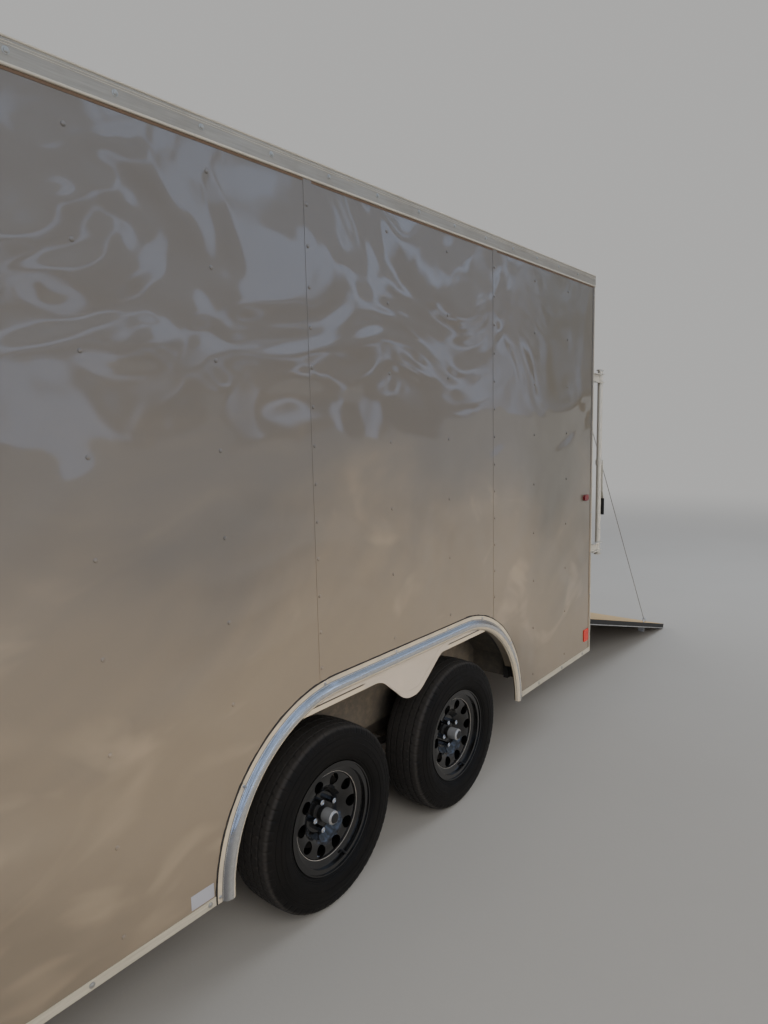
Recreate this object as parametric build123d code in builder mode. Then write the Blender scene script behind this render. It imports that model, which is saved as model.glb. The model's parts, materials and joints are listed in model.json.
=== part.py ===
from build123d import *
from math import asin, atan2, cos, degrees, hypot, radians, sin, tan
import os

os.makedirs("parts", exist_ok=True)

# Enclosed V-nose cargo trailer, in millimetres: +X to the coupler, +Y to the left side, +Z up.
# It stands on its wheels and tongue jack, with the ramp door lowered to the ground.

# Body
box_length = 4877
box_width = 2550
nose_depth = 640
nose_radius = 130
cap_half_width = 190
inside_height = 2050
roof_thickness = 45
roof_crown = 20
wall = 45
skin_drop = 192
skirt_skin = 10
rear_panel = 1194
panel_pitch = 1219
panel_count = 4
vent_opening = 356
vent_flange = 40
vent_rim = 14
vent_lid_height = 46
vent_taper = 12
vent_lid_round = 10
rail_trim = 63
rail_trim_sheet = 3
edge_trim = 28
edge_trim_sheet = 2
corner_trim = 38
guard_height = 610

# Frame
frame_above_axle = 35
rail_depth = 152
rail_width = 51
rail_to_wheel = 223
cross_depth = 76
cross_width = 38
cross_pitch = 610
sill_width = 76
deck_thickness = 19

# Wheels
tyre_radius = 344
tyre_width = 205
axle_spacing = 855
axle_to_rear = 1938
wheel_inset = 110
bead_radius = 190
flange_radius = 209
rim_half_width = 77
rim_flange = 9
rim_sheet = 4
rim_turn = 2
well_radius = 167
well_outer = 54
well_inner = 8
well_ramp = 20
well_shoulder = 8
shoulder_radius_drop = 5
shoulder_in = 28
shoulder_corner = (17, 11)
shoulder_upper = (12, 24)
sidewall_gap = 7
sidewall_widest = 0.4
disc_sheet = 5
disc_crown = 54
disc_step = 38
disc_seat = 30
disc_turn = 2
pad_face = 14
pad_radius = 80
lug_circle = 57.15
lug_count = 5
stud_radius = 6
nut_radius = 11.5
nut_length = 32
disc_hole_count = 10
disc_hole_radius = 23
disc_hole_circle = 132
hub_bore_radius = 42
drum_outer_radius = 136
drum_depth = 62
drum_sheet = 10
barrel_fit = 1
barrel_past_pad = 4
cap_radius = 26
cap_reach = 90
cap_round = 6
cap_room = 36
plug_radius = 19
plug_proud = 2
stud_fit = 1
stud_recess = 6

# Axles and springs
spindle_radius = 20
running_fit = 0.1
axle_tube_radius = 30
axle_drop = 102
plate_sheet = 4
plate_gap = 8
arm_height = 24
arm_reach = 30
spindle_past = 30
flange_length = 14
spring_width = 44
spring_half_length = 330
leaf_thickness = 7
leaf_half_lengths = [334, 240, 170, 110]
eye_drop = 38
eye_radius = 14
spring_bolt_radius = 8
hanger_sheet = 6
equalizer_half = 58
equalizer_drop = 52
equalizer_height = 30
shackle_sheet = 6
hanger_half_width = 48
hanger_boss = 19
bolt_head_radius = 14
clip_length = 90
clip_width = 64
u_bolt_radius = 5
u_bolt_half_pitch = 33
u_bolt_offset = 27
u_bolt_lift = 0.3
seat_half_length = 40
hanger_taper = 70

# Wheel arch, seen from the side, from the middle of the axles
arch_front_x = 420
arch_rear_x = -455
flare_radius = 560
arch_cut = 60
flare_flange = 20
flare_sheet = 3
flare_crest = 20
flare_crest_at = 40
flare_lip = 8
flare_width = 64
skirt_sheet = 5
skirt_edge = 457
skirt_low = 328
skirt_drop_front = 161
skirt_low_front = 7
skirt_low_rear = -88
skirt_drop_rear = -257
skirt_end_round = 110
skirt_rear_round = 55
skirt_low_round = 115
skirt_lip = 30
skirt_lip_sheet = 2
box_margin = 20
wheel_box_sheet = 5
wheel_box_height = 365
wheel_box_shoulder = 20
wheel_box_slant = 310
wheel_box_room = 60
arch_tube = 25

# Rear opening and ramp door
post_width = 80
ramp_thickness = 39
ramp_deck_sheet = 12
ramp_inset = 42
ramp_gap = 8
ramp_side_gap = 7
ramp_root = 14
ramp_face_above_pin = 8
pin_below_floor = 10
hinge_pin_radius = 5
hinge_barrel_radius = 9
hinge_clearance = 0.05
knuckle_length = 60
knuckle_gap = 1
header_depth = 51
hinge_leaf_depth = 27
hinge_count = 5
hinge_edge = 150

# Ramp springs and cables
cable_radius = 2.5
cable_inset = 16
cable_clearance = 0.3
eye_along_ramp = 1500
eye_height = 22
eye_ring_radius = 12
eye_wire_radius = 3.5
eye_shank_radius = 4.5
cable_drum_radius = 42
cable_drum_width = 24
cable_drum_flange = 7
cable_drum_flange_sheet = 4
spring_setback = 238
spring_drop = 100
spring_coil_radius = 30
spring_cone_radius = 36
spring_cone_length = 40
spring_shaft_radius = 12
bracket_inset = 82
bracket_sheet = 8
bracket_radius = 40
bracket_taper = 70
spring_to_drum = 182
spring_to_middle = 60

# Bar locks
lock_arm = 133
lock_pin_inset = 17
lock_pin_out = 16
lock_above_floor = 390
lock_length = 1167
lock_tube_radius = 16
lock_cam_radius = 22
lock_cam_height = 8
lock_arm_inset = 55
lock_arm_height = 54
lock_arm_sheet = 5
lock_arm_flange = 24
lock_knuckle = 32
lock_leaf_sheet = 5
handle_above_lock = 590
handle_collar = 16
handle_pivot_radius = 9
handle_sheet = 6
handle_width = 24
handle_top = 12
handle_bend = [(36, 0), (42, 190), (58, 230), (58, 340)]
grip_length = 105
grip_width = 32
grip_depth = 14
grip_rounding = 0.45
keeper_width = 50
keeper_reach = 38
keeper_sheet = 5
keeper_gap = 6
keeper_plate = 4
bumper_radius = 22
bumper_height = 16
bumper_taper = 15
bumper_from_keeper = 75

# Side door, on the right
door_width = 813
door_head = 215
door_to_front = 266
door_gap = 5
door_pin_radius = 4
door_barrel_radius = 6.5
door_pin_out = 8
door_hinge_count = 3
door_hinge_edge = 200
door_knuckle = 40
door_leaf_sheet = 6
door_fixed_leaf = 40
door_strap = 120
door_strap_sheet = 4
latch_from_edge = 95
latch_above_floor = 780
latch_width = 120
latch_height = 150
latch_sheet = 7
paddle_width = 86
paddle_height = 64
paddle_depth = 9
paddle_taper = 20

# Tongue
tongue_reach = 1560
tongue_angle = 25
tongue_depth = 102
tongue_width = 51
tongue_apex_back = 40
tongue_front_back = 120
coupler_length = 330
coupler_radius = 46
coupler_sheet = 6
coupler_skirt = 50
coupler_plate = 8
bell_lip = 4
bell_lip_height = 10
latch_back = 78
latch_block = 30
lever_length = 95
lever_rise = 42
lever_radius = 6
socket_radius = 29.75
socket_depth = 30
socket_below_tube = 50
jack_back = 560
jack_tube_radius = 28.5
jack_leg_radius = 25
jack_clearance = 0.3
jack_below_tongue = 81
jack_above_tongue = 305
jack_leg_above_tongue = -25
jack_flange_radius = 52
jack_flange_sheet = 16
notch_gap = 8
notch_below = 20
jack_plate_length = 150
jack_plate_past = 30
jack_cap_radius = 33
jack_cap_height = 26
crank_radius = 7
crank_reach = 83
crank_drop = 145
crank_grip_radius = 11
crank_grip_length = 87
foot_radius = 65
foot_sheet = 6

# Lamps
marker_above_floor = 780
reflector_above_floor = -90
tail_lamp_above_floor = 230
header_lamp_below_roof = 30
header_lamp_pitch = 160
header_lamp_inset = 70
marker_from_rear = 108
reflector_from_rear = 68
lamp_from_front = 120
# Length, height, depth and rounding of each lamp
marker = (60, 37, 14, 0.48)
reflector = (70, 75, 5, 0.1)
rear_marker = (100, 26, 14, 0.4)
tail = (56, 200, 18, 0.4)

# Heights
axle_z = tyre_radius
frame_bottom = axle_z + frame_above_axle
frame_top = frame_bottom + rail_depth
floor_top = frame_top + deck_thickness
ceiling = floor_top + inside_height
roof_edge = ceiling + roof_thickness
skin_bottom = frame_top - skin_drop
cross_bottom = frame_top - cross_depth
rail_trim_bottom = roof_edge - rail_trim
tongue_top = cross_bottom
tongue_bottom = tongue_top - tongue_depth

# The ramp's slope puts its lower end on the ground
pin_z = floor_top - pin_below_floor
header_bottom = ceiling - header_depth
ramp_length = header_bottom - ramp_gap - pin_z - ramp_root
ramp_end = ramp_root + ramp_length
ramp_under_pin = ramp_thickness - ramp_face_above_pin
slope = asin(pin_z / hypot(ramp_end, ramp_under_pin)) - atan2(ramp_under_pin, ramp_end)

# Lengthwise places, with the origin under the middle of the whole trailer
front_reach = box_length - axle_to_rear + tongue_reach
tail_reach = axle_to_rear - ramp_inset + ramp_end * cos(slope) + ramp_face_above_pin * sin(slope)
axle_mid = (tail_reach - front_reach) / 2
rear_x = axle_mid - axle_to_rear
front_x = rear_x + box_length
tip_x = front_x + tongue_reach
pin_x = rear_x + ramp_inset
sill_rear = pin_x + ramp_root
seams = [rear_x + rear_panel + k * panel_pitch for k in range(panel_count - 1)]
panel_ends = [rear_x, *seams, front_x]

# Crosswise places
half_width = box_width / 2
inner_y = half_width - wall
frame_y = half_width - skirt_skin
perimeter_y = frame_y - rail_width
wheel_y = half_width - wheel_inset
rail_y = wheel_y - rail_to_wheel
wheel_box_y = wheel_y - tyre_width / 2 - wheel_box_room
post_inner_y = frame_y - post_width
ramp_half = post_inner_y - ramp_side_gap
cable_y = ramp_half - cable_inset
lock_pin_y = half_width - lock_pin_inset

# Wheel arch and wheel box
cut_radius = flare_radius - arch_cut
arch_z = skin_bottom
box_front = axle_mid + arch_front_x + cut_radius + box_margin
box_rear = axle_mid + arch_rear_x - cut_radius - box_margin
box_top = floor_top + wheel_box_height


def save(piece, name):
    piece.part.label = name
    export_step(piece.part, f"parts/{name}.step")


def block(x_range, y_range, z_range, mode=Mode.ADD):
    spans = (x_range, y_range, z_range)
    size = [high - low for low, high in spans]
    with Locations(tuple((low + high) / 2 for low, high in spans)):
        Box(*size, mode=mode)


def rod(start, end, radius, mode=Mode.ADD):
    axis = Vector(*end) - Vector(*start)
    with BuildSketch(Plane(origin=start, z_dir=axis)) as profile:
        Circle(radius)
    extrude(profile.sketch, amount=axis.length, mode=mode)


def side_plane(y):
    return Plane(origin=(0, y, 0), x_dir=(1, 0, 0), z_dir=(0, -1, 0))


def plan_face(inset, mode=Mode.ADD):
    # Plan of the body, an inset inside its skin: straight sides, a V and a rounded tip
    turn = atan2(half_width, nose_depth)
    width = half_width - inset
    tip = front_x + nose_depth - inset / sin(turn)
    corner = tip - width / tan(turn)
    with BuildLine() as outline:
        FilletPolyline(
            (rear_x, -width), (corner, -width), (tip, 0), (corner, width), (rear_x, width),
            radius=[0, 0, nose_radius - inset, 0, 0], close=True)
    make_face(outline.edges(), mode=mode)


def plan_ring(outer, inner, z_range, mode=Mode.ADD):
    with BuildSketch(Plane.XY.offset(z_range[0])) as ring:
        plan_face(outer)
        plan_face(inner, mode=Mode.SUBTRACT)
    extrude(ring.sketch, amount=z_range[1] - z_range[0], mode=mode)


def arch_face(radius):
    front = axle_mid + arch_front_x
    rear = axle_mid + arch_rear_x
    below = arch_z - arch_cut
    with BuildLine() as outline:
        CenterArc((front, arch_z), radius, 0, 90)
        Line((front, arch_z + radius), (rear, arch_z + radius))
        CenterArc((rear, arch_z), radius, 90, 90)
        Polyline((rear - radius, arch_z), (rear - radius, below), (front + radius, below),
                 (front + radius, arch_z))
    make_face(outline.edges())


def tongue_tubes(z_range, grow, mode=Mode.ADD):
    # Both A-frame tubes in plan, from the coupler back to the main rails
    apex = tip_x - tongue_apex_back
    back = apex - rail_y / tan(radians(tongue_angle))
    middle = ((apex + back) / 2, (apex - back) / 2 * tan(radians(tongue_angle)))
    length = (apex - back) / cos(radians(tongue_angle)) + tongue_width
    with BuildSketch(Plane.XY.offset(z_range[0])) as plan:
        with Locations(middle):
            Rectangle(length, tongue_width + 2 * grow, rotation=-tongue_angle)
        with Locations((back, 0)):
            Rectangle(2 * (tip_x - tongue_front_back - back + grow), 2 * (rail_y - rail_width / 2),
                      mode=Mode.INTERSECT)
        with Locations((back, 0)):
            Rectangle(2 * (tip_x - back), 2 * coupler_plate, mode=Mode.SUBTRACT)
        mirror(about=Plane.XZ)
    extrude(plan.sketch, amount=z_range[1] - z_range[0], mode=mode)


# Main frame: rails, rear sill, front beam and spring hangers
eye_z = frame_bottom - eye_drop
pivot_z = frame_bottom - equalizer_drop
hanger_table = [  # place from the middle of the axles, height of the bolt
    (axle_spacing / 2 + spring_half_length, eye_z),
    (0, pivot_z),
    (-axle_spacing / 2 - spring_half_length, eye_z)]
rail_inner_y = rail_y - rail_width / 2
rail_outer_y = rail_y + rail_width / 2
rail_front = front_x - rail_width

with BuildPart() as main_frame:
    block((sill_rear, sill_rear + sill_width), (-frame_y, frame_y), (frame_bottom, frame_top))
    block((rail_front, front_x), (-rail_outer_y, rail_outer_y), (cross_bottom, frame_top))
    for side in (-1, 1):
        rail = sorted((side * rail_inner_y, side * rail_outer_y))
        block((sill_rear, front_x), rail, (frame_bottom, frame_top))
        for place, bolt_z in hanger_table:
            for cheek in (-1, 1):
                y = side * rail_y + cheek * (spring_width / 2 + hanger_sheet / 2 + knuckle_gap)
                with BuildSketch(side_plane(y + hanger_sheet / 2)):
                    with Locations((axle_mid + place, bolt_z)):
                        Circle(hanger_boss)
                    with Locations((axle_mid + place, (bolt_z + frame_bottom) / 2)):
                        Trapezoid(2 * hanger_half_width, frame_bottom - bolt_z, hanger_taper, rotation=180)
                    with Locations((axle_mid + place, bolt_z)):
                        Circle(spring_bolt_radius + hinge_clearance, mode=Mode.SUBTRACT)
                extrude(amount=hanger_sheet)
save(main_frame, "main_frame")

# Perimeter: side rails with their returns to the main rails at the wheel boxes, and the V at the front
with BuildPart() as perimeter_frame:
    plan_ring(skirt_skin, skirt_skin + rail_width, (cross_bottom, frame_top))
    block((box_rear, box_front), (-half_width, half_width), (skin_bottom, frame_top), Mode.SUBTRACT)
    block((rear_x, sill_rear + sill_width), (-half_width, half_width), (skin_bottom, frame_top),
          Mode.SUBTRACT)
    for side in (-1, 1):
        span = sorted((side * rail_outer_y, side * frame_y))
        for x in (box_front, box_rear - cross_width):
            block((x, x + cross_width), span, (cross_bottom, frame_top))
    block((front_x, front_x + nose_depth - skirt_skin - rail_width), (-cross_width / 2, cross_width / 2),
          (cross_bottom, frame_top))
save(perimeter_frame, "perimeter_frame")

# Crossmembers between the rails, and the outriggers beyond them
with BuildPart() as crossmembers:
    first = sill_rear + sill_width + cross_pitch
    for k in range(int((rail_front - cross_width - first) / cross_pitch) + 1):
        x = first + k * cross_pitch
        along = (x - cross_width / 2, x + cross_width / 2)
        block(along, (-rail_inner_y, rail_inner_y), (cross_bottom, frame_top))
        if x < box_rear - 2 * cross_width or x > box_front + 2 * cross_width:
            for side in (-1, 1):
                block(along, sorted((side * rail_outer_y, side * perimeter_y)), (cross_bottom, frame_top))
save(crossmembers, "crossmembers")

# Tongue: two A-frame tubes and the jack's plate
jack_x = tip_x - jack_back
slant = radians(tongue_angle)


def tube_outer_y(x):
    # Where the outer face of a tongue tube is, across
    return (tip_x - tongue_apex_back - x) * tan(slant) + tongue_width / 2 / cos(slant)


with BuildPart() as tongue_frame:
    tongue_tubes((tongue_bottom, tongue_top), 0)
    with BuildSketch(Plane.XY.offset(tongue_top)):
        with Locations((jack_x, 0)):
            Trapezoid(2 * tube_outer_y(jack_x) + jack_plate_past, jack_plate_length, 90 - tongue_angle,
                      rotation=-90)
            Circle(jack_tube_radius, mode=Mode.SUBTRACT)
    extrude(amount=coupler_plate)
save(tongue_frame, "tongue_frame")

# Ball coupler: a bell for the ball, a plate and skirts that wrap the two tubes, and the latch
socket_x = tip_x - coupler_radius - bell_lip
socket_z = tongue_top - socket_below_tube
tube_end = tip_x - tongue_front_back
coupler_rear = tip_x - coupler_length
coupler_top = tongue_top + coupler_plate


def coupler_plan(sheet):
    # The tubes' outer faces, grown by a sheet
    grow = sheet / cos(slant)
    with BuildLine() as outline:
        Polyline((coupler_rear, -tube_outer_y(coupler_rear) - grow),
                 (tube_end, -tube_outer_y(tube_end) - grow), (tube_end, tube_outer_y(tube_end) + grow),
                 (coupler_rear, tube_outer_y(coupler_rear) + grow), close=True)
    return make_face(outline.edges(), mode=Mode.PRIVATE)


with BuildPart() as coupler:
    with BuildSketch(Plane.XY.offset(tongue_top - coupler_skirt)):
        add(coupler_plan(coupler_sheet))
    extrude(amount=coupler_skirt + coupler_plate)
    with BuildSketch(Plane.XY.offset(tongue_top - coupler_skirt)):
        add(coupler_plan(0))
    extrude(amount=coupler_skirt, mode=Mode.SUBTRACT)
    wide = tube_outer_y(tube_end) + coupler_sheet / cos(slant)
    with BuildSketch(Plane.XY.offset(socket_z)):
        with BuildLine():
            Polyline((tube_end, -wide), (socket_x, -coupler_radius), (socket_x, coupler_radius),
                     (tube_end, wide), close=True)
        make_face()
        with Locations((socket_x, 0)):
            Circle(coupler_radius)
    extrude(amount=coupler_top - socket_z)
    with BuildSketch(Plane.XY.offset(socket_z)):
        with Locations((socket_x, 0)):
            Circle(coupler_radius + bell_lip)
    extrude(amount=bell_lip_height)
    with Locations((socket_x, 0, coupler_top - coupler_radius + bell_lip_height)):
        Sphere(coupler_radius)
    block((coupler_rear, tip_x), (-coupler_radius, coupler_radius), (tongue_bottom, socket_z), Mode.SUBTRACT)
    with Locations((socket_x - latch_back, 0, coupler_top + latch_block / 2)):
        Box(2 * latch_block, latch_block, latch_block)
    fillet(coupler.edges().filter_by(Axis.Y).group_by(Axis.Z)[-1], latch_block / 4)
    rod((socket_x - latch_back, 0, coupler_top + latch_block / 2),
        (socket_x - latch_back - lever_length, 0, coupler_top + lever_rise), lever_radius)
    with BuildSketch(Plane.XY.offset(socket_z)):
        with Locations((socket_x, 0)):
            Circle(socket_radius)
    extrude(amount=socket_depth, mode=Mode.SUBTRACT)
    with Locations((socket_x, 0, socket_z + socket_depth)):
        Sphere(socket_radius, mode=Mode.SUBTRACT)
save(coupler, "coupler")

# Tongue jack: outer tube with its flange, cap and crank, and the leg with its foot
jack_bottom = tongue_top - jack_below_tongue - tongue_depth
jack_top = tongue_top + jack_above_tongue
crank_z = jack_top - jack_cap_height / 2
with BuildPart() as jack_body:
    rod((jack_x, 0, jack_bottom), (jack_x, 0, jack_top), jack_tube_radius)
    rod((jack_x, 0, tongue_top + coupler_plate), (jack_x, 0, tongue_top + coupler_plate + jack_flange_sheet),
        jack_flange_radius)
    rod((jack_x, 0, jack_top - jack_cap_height), (jack_x, 0, jack_top), jack_cap_radius)
    fillet(jack_body.edges().group_by(Axis.Z)[-1], jack_cap_height / 3)
    rod((jack_x, 0, jack_bottom), (jack_x, 0, jack_top - jack_cap_height), jack_leg_radius + jack_clearance,
        Mode.SUBTRACT)
    rod((jack_x, 0, crank_z), (jack_x, -crank_reach - crank_radius, crank_z), crank_radius)
    rod((jack_x, -crank_reach, crank_z), (jack_x, -crank_reach, crank_z - crank_drop), crank_radius)
    rod((jack_x, -crank_reach, crank_z - crank_drop),
        (jack_x, -crank_reach - crank_grip_length, crank_z - crank_drop), crank_grip_radius)
save(jack_body, "jack_body")

with BuildPart() as jack_leg:
    rod((jack_x, 0, 0), (jack_x, 0, tongue_top + jack_leg_above_tongue), jack_leg_radius)
    rod((jack_x, 0, 0), (jack_x, 0, foot_sheet), foot_radius)
save(jack_leg, "jack_leg")

# Floor deck, cut out around the wheel boxes
with BuildPart() as floor_deck:
    with BuildSketch(Plane.XY.offset(frame_top)):
        plan_face(wall)
    extrude(amount=deck_thickness)
    block((rear_x, sill_rear), (-half_width, half_width), (frame_top, floor_top), Mode.SUBTRACT)
    for side in (-1, 1):
        edge = sorted((side * wheel_box_y, side * half_width))
        block((box_rear, box_front), edge, (frame_top, floor_top), Mode.SUBTRACT)
save(floor_deck, "floor_deck")


# Wheel boxes: a folded sheet over each pair of wheels, with its inner wall
def wheel_box_face(inset):
    shoulder = floor_top + wheel_box_shoulder
    ease = inset * tan(atan2(box_top - shoulder, wheel_box_slant) / 2)
    steep = inset * tan(atan2(wheel_box_slant, box_top - shoulder) / 2)
    with BuildLine() as outline:
        Polyline((box_rear + inset, cross_bottom), (box_rear + inset, shoulder - steep),
                 (box_rear + wheel_box_slant + ease, box_top - inset),
                 (box_front - wheel_box_slant - ease, box_top - inset),
                 (box_front - inset, shoulder - steep), (box_front - inset, cross_bottom), close=True)
    make_face(outline.edges())


with BuildPart() as wheel_boxes:
    with BuildSketch(side_plane(inner_y)):
        wheel_box_face(0)
    extrude(amount=inner_y - wheel_box_y)
    with BuildSketch(side_plane(inner_y)):
        wheel_box_face(wheel_box_sheet)
    extrude(amount=inner_y - wheel_box_y - wheel_box_sheet, mode=Mode.SUBTRACT)
    mirror(about=Plane.XZ)
save(wheel_boxes, "wheel_boxes")

# Tubes that frame each wheel box at the wall
with BuildPart() as arch_frames:
    with BuildSketch(side_plane(inner_y)):
        wheel_box_face(wheel_box_sheet)
    extrude(amount=arch_tube)
    with BuildSketch(side_plane(inner_y)):
        wheel_box_face(wheel_box_sheet + arch_tube)
    extrude(amount=arch_tube, mode=Mode.SUBTRACT)
    mirror(about=Plane.XZ)
save(arch_frames, "arch_frames")

# Side walls, one piece for each 4 ft sheet, with the arch and the door cut out
door_x1 = front_x - door_to_front
door_x0 = door_x1 - door_width
door_z0 = floor_top + door_gap
door_z1 = ceiling - door_head
door_height = door_z1 - door_z0
door_pin_x = door_x1 + door_gap / 2
door_pin_y = -half_width - door_pin_out
door_hinges = [door_z0 + door_hinge_edge + k * (door_height - 2 * door_hinge_edge) / (door_hinge_count - 1)
               for k in range(door_hinge_count)]


def walls(x_range, side):
    plan_ring(0, wall, (frame_top, ceiling))
    plan_ring(0, skirt_skin, (skin_bottom, frame_top))
    block(x_range, sorted((0, side * 2 * half_width)), (0, roof_edge), Mode.INTERSECT)


def door_hinge_halves():
    for z in door_hinges:
        for low in (z + door_knuckle / 2 + knuckle_gap, z - 1.5 * door_knuckle - knuckle_gap):
            rod((door_pin_x, door_pin_y, low), (door_pin_x, door_pin_y, low + door_knuckle),
                door_barrel_radius)
            block((door_pin_x, door_pin_x + door_fixed_leaf), (-half_width - door_leaf_sheet, -half_width),
                  (low, low + door_knuckle))
        rod((door_pin_x, door_pin_y, z - door_knuckle), (door_pin_x, door_pin_y, z + door_knuckle),
            door_pin_radius)


for side, side_name in ((1, "left"), (-1, "right")):
    for number in range(panel_count):
        x_range = (panel_ends[panel_count - 1 - number], panel_ends[panel_count - number])
        with BuildPart() as side_panel:
            walls(x_range, side)
            with BuildSketch(side_plane(side * half_width + wall)):
                arch_face(cut_radius)
            extrude(amount=2 * wall, mode=Mode.SUBTRACT)
            if number == panel_count - 1:
                block((rear_x, sill_rear), (-frame_y, frame_y), (frame_top, ceiling), Mode.SUBTRACT)
            if side < 0:
                block((door_x0 - door_gap, door_x1 + door_gap), (-half_width, -inner_y),
                      (floor_top, door_z1 + door_gap), Mode.SUBTRACT)
            if side < 0 and number == 0:
                door_hinge_halves()
        save(side_panel, f"side_panel_{side_name}_{number + 1}")

with BuildPart() as side_door:
    block((door_x0, door_x1), (-half_width, -inner_y), (door_z0, door_z1))
    for z in door_hinges:
        span = (z - door_knuckle / 2, z + door_knuckle / 2)
        rod((door_pin_x, door_pin_y, span[0]), (door_pin_x, door_pin_y, span[1]), door_barrel_radius)
        block((door_x1 - 2 * door_barrel_radius, door_pin_x),
              (door_pin_y - door_barrel_radius / 2, -half_width), span)
        block((door_x1 - door_strap, door_x1), (-half_width - door_strap_sheet, -half_width), span)
        rod((door_pin_x, door_pin_y, span[0]), (door_pin_x, door_pin_y, span[1]),
            door_pin_radius + hinge_clearance, Mode.SUBTRACT)
    latch_x = door_x0 + latch_from_edge
    latch_z = floor_top + latch_above_floor
    with BuildSketch(side_plane(-half_width)):
        with Locations((latch_x, latch_z)):
            RectangleRounded(latch_width, latch_height, latch_width / 10)
    extrude(amount=latch_sheet)
    with BuildSketch(side_plane(-half_width - latch_sheet)):
        with Locations((latch_x, latch_z - latch_height / 8)):
            RectangleRounded(paddle_width, paddle_height, paddle_width / 9)
    extrude(amount=paddle_depth, taper=paddle_taper)
save(side_door, "side_door")


# V-nose: two flat walls, a rounded corner cap and the stone guard around them
def nose_walls(y_range):
    plan_ring(0, wall, (frame_top, ceiling))
    plan_ring(0, skirt_skin, (skin_bottom, frame_top))
    block((front_x, tip_x), y_range, (0, roof_edge), Mode.INTERSECT)
    tongue_tubes((skin_bottom - notch_below, tongue_top + notch_gap), notch_gap, Mode.SUBTRACT)


nose_table = [  # name, span across
    ("nose_panel_left", (cap_half_width, box_width)),
    ("nose_panel_right", (-box_width, -cap_half_width)),
    ("nose_cap", (-cap_half_width, cap_half_width))]
for name, y_range in nose_table:
    with BuildPart() as nose_piece:
        nose_walls(y_range)
    save(nose_piece, name)

with BuildPart() as stone_guard:
    plan_ring(-edge_trim_sheet, 0, (skin_bottom, skin_bottom + guard_height))
    block((front_x, tip_x), (-box_width, box_width), (0, roof_edge), Mode.INTERSECT)
    tongue_tubes((skin_bottom - notch_below, tongue_top + notch_gap), notch_gap, Mode.SUBTRACT)
save(stone_guard, "stone_guard")

# Roof: one crowned sheet over its bows, with the vent's opening
vent_x = axle_mid
with BuildPart() as roof:
    with BuildSketch(Plane.YZ.offset(rear_x)):
        with BuildLine():
            Polyline((-half_width, roof_edge), (-half_width, ceiling), (half_width, ceiling),
                     (half_width, roof_edge))
            ThreePointArc((half_width, roof_edge), (0, roof_edge + roof_crown), (-half_width, roof_edge))
        make_face()
    extrude(amount=box_length + nose_depth)
    with BuildSketch(Plane.XY.offset(ceiling)):
        plan_face(0)
    extrude(amount=roof_thickness + roof_crown, mode=Mode.INTERSECT)
    with Locations((vent_x, 0, ceiling)):
        Box(vent_opening, vent_opening, 4 * roof_thickness, mode=Mode.SUBTRACT)
save(roof, "roof")

vent_seat = roof_edge + roof_crown
with BuildPart() as roof_vent:
    with BuildSketch(Plane.XY.offset(vent_seat)):
        with Locations((vent_x, 0)):
            RectangleRounded(vent_opening + 2 * vent_flange, vent_opening + 2 * vent_flange, vent_flange / 2)
    extrude(amount=vent_rim)
    with BuildSketch(Plane.XY.offset(vent_seat + vent_rim)):
        with Locations((vent_x, 0)):
            RectangleRounded(vent_opening + vent_flange, vent_opening + vent_flange, vent_flange / 2)
    extrude(amount=vent_lid_height, taper=vent_taper)
    fillet(roof_vent.faces().sort_by(Axis.Z)[-1].edges(), vent_lid_round)
    block((vent_x - vent_opening / 2, vent_x + vent_opening / 2), (-vent_opening / 2, vent_opening / 2),
          (vent_seat, vent_seat + vent_lid_height / 2), Mode.SUBTRACT)
save(roof_vent, "roof_vent")

with BuildPart() as roof_rails:
    plan_ring(-rail_trim_sheet, 0, (rail_trim_bottom, roof_edge + rail_trim_sheet))
    block((rear_x - rail_trim_sheet, rear_x), (-half_width - rail_trim_sheet, half_width + rail_trim_sheet),
          (rail_trim_bottom, roof_edge + rail_trim_sheet))
save(roof_rails, "roof_rails")

# Bottom trims along the sides, and the trims of the two rear corners and of the V's corners
with BuildPart() as edge_trims:
    plan_ring(-edge_trim_sheet, 0, (skin_bottom, skin_bottom + edge_trim))
    block((front_x - corner_trim, tip_x), (-box_width, box_width), (0, roof_edge), Mode.SUBTRACT)
    block((axle_mid + arch_rear_x - flare_radius, axle_mid + arch_front_x + flare_radius),
          (-box_width, box_width), (0, roof_edge), Mode.SUBTRACT)
    for side in (-1, 1):
        edge = sorted((side * half_width, side * (half_width + edge_trim_sheet)))
        block((rear_x, rear_x + edge_trim), edge, (skin_bottom, rail_trim_bottom))
        with BuildPart(mode=Mode.PRIVATE) as corner:
            plan_ring(-edge_trim_sheet, 0, (skin_bottom, rail_trim_bottom))
            block((front_x - corner_trim, front_x + corner_trim), sorted((0, side * box_width)),
                  (0, roof_edge), Mode.INTERSECT)
            plan_ring(-edge_trim_sheet, 0, (0, skin_bottom + guard_height), Mode.SUBTRACT)
            with BuildPart(mode=Mode.PRIVATE) as lower:
                plan_ring(-edge_trim_sheet, 0, (skin_bottom, skin_bottom + guard_height))
                block((front_x - corner_trim, front_x), sorted((0, side * box_width)), (0, roof_edge),
                      Mode.INTERSECT)
            add(lower.part)
        add(corner.part)
save(edge_trims, "edge_trims")


# Wheel arch flares: one rolled profile around two quarter arcs and along the flat top
def flare_profile():
    out = half_width
    top = arch_z + flare_radius
    foot = top - flare_width
    crest = top - flare_crest_at
    sheet = flare_sheet
    with BuildLine() as outline:
        Polyline((out, top), (out + sheet, top), (out + sheet, top - flare_flange))
        ThreePointArc((out + sheet, top - flare_flange), (out + flare_crest, crest), (out + flare_lip, foot))
        Polyline((out + flare_lip, foot), (out, foot - sheet), (out, foot),
                 (out + flare_lip - sheet, foot + sheet))
        ThreePointArc((out + flare_lip - sheet, foot + sheet), (out + flare_crest - sheet, crest),
                      (out, top - flare_flange))
        Line((out, top - flare_flange), (out, top))
    make_face(outline.edges())


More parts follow.
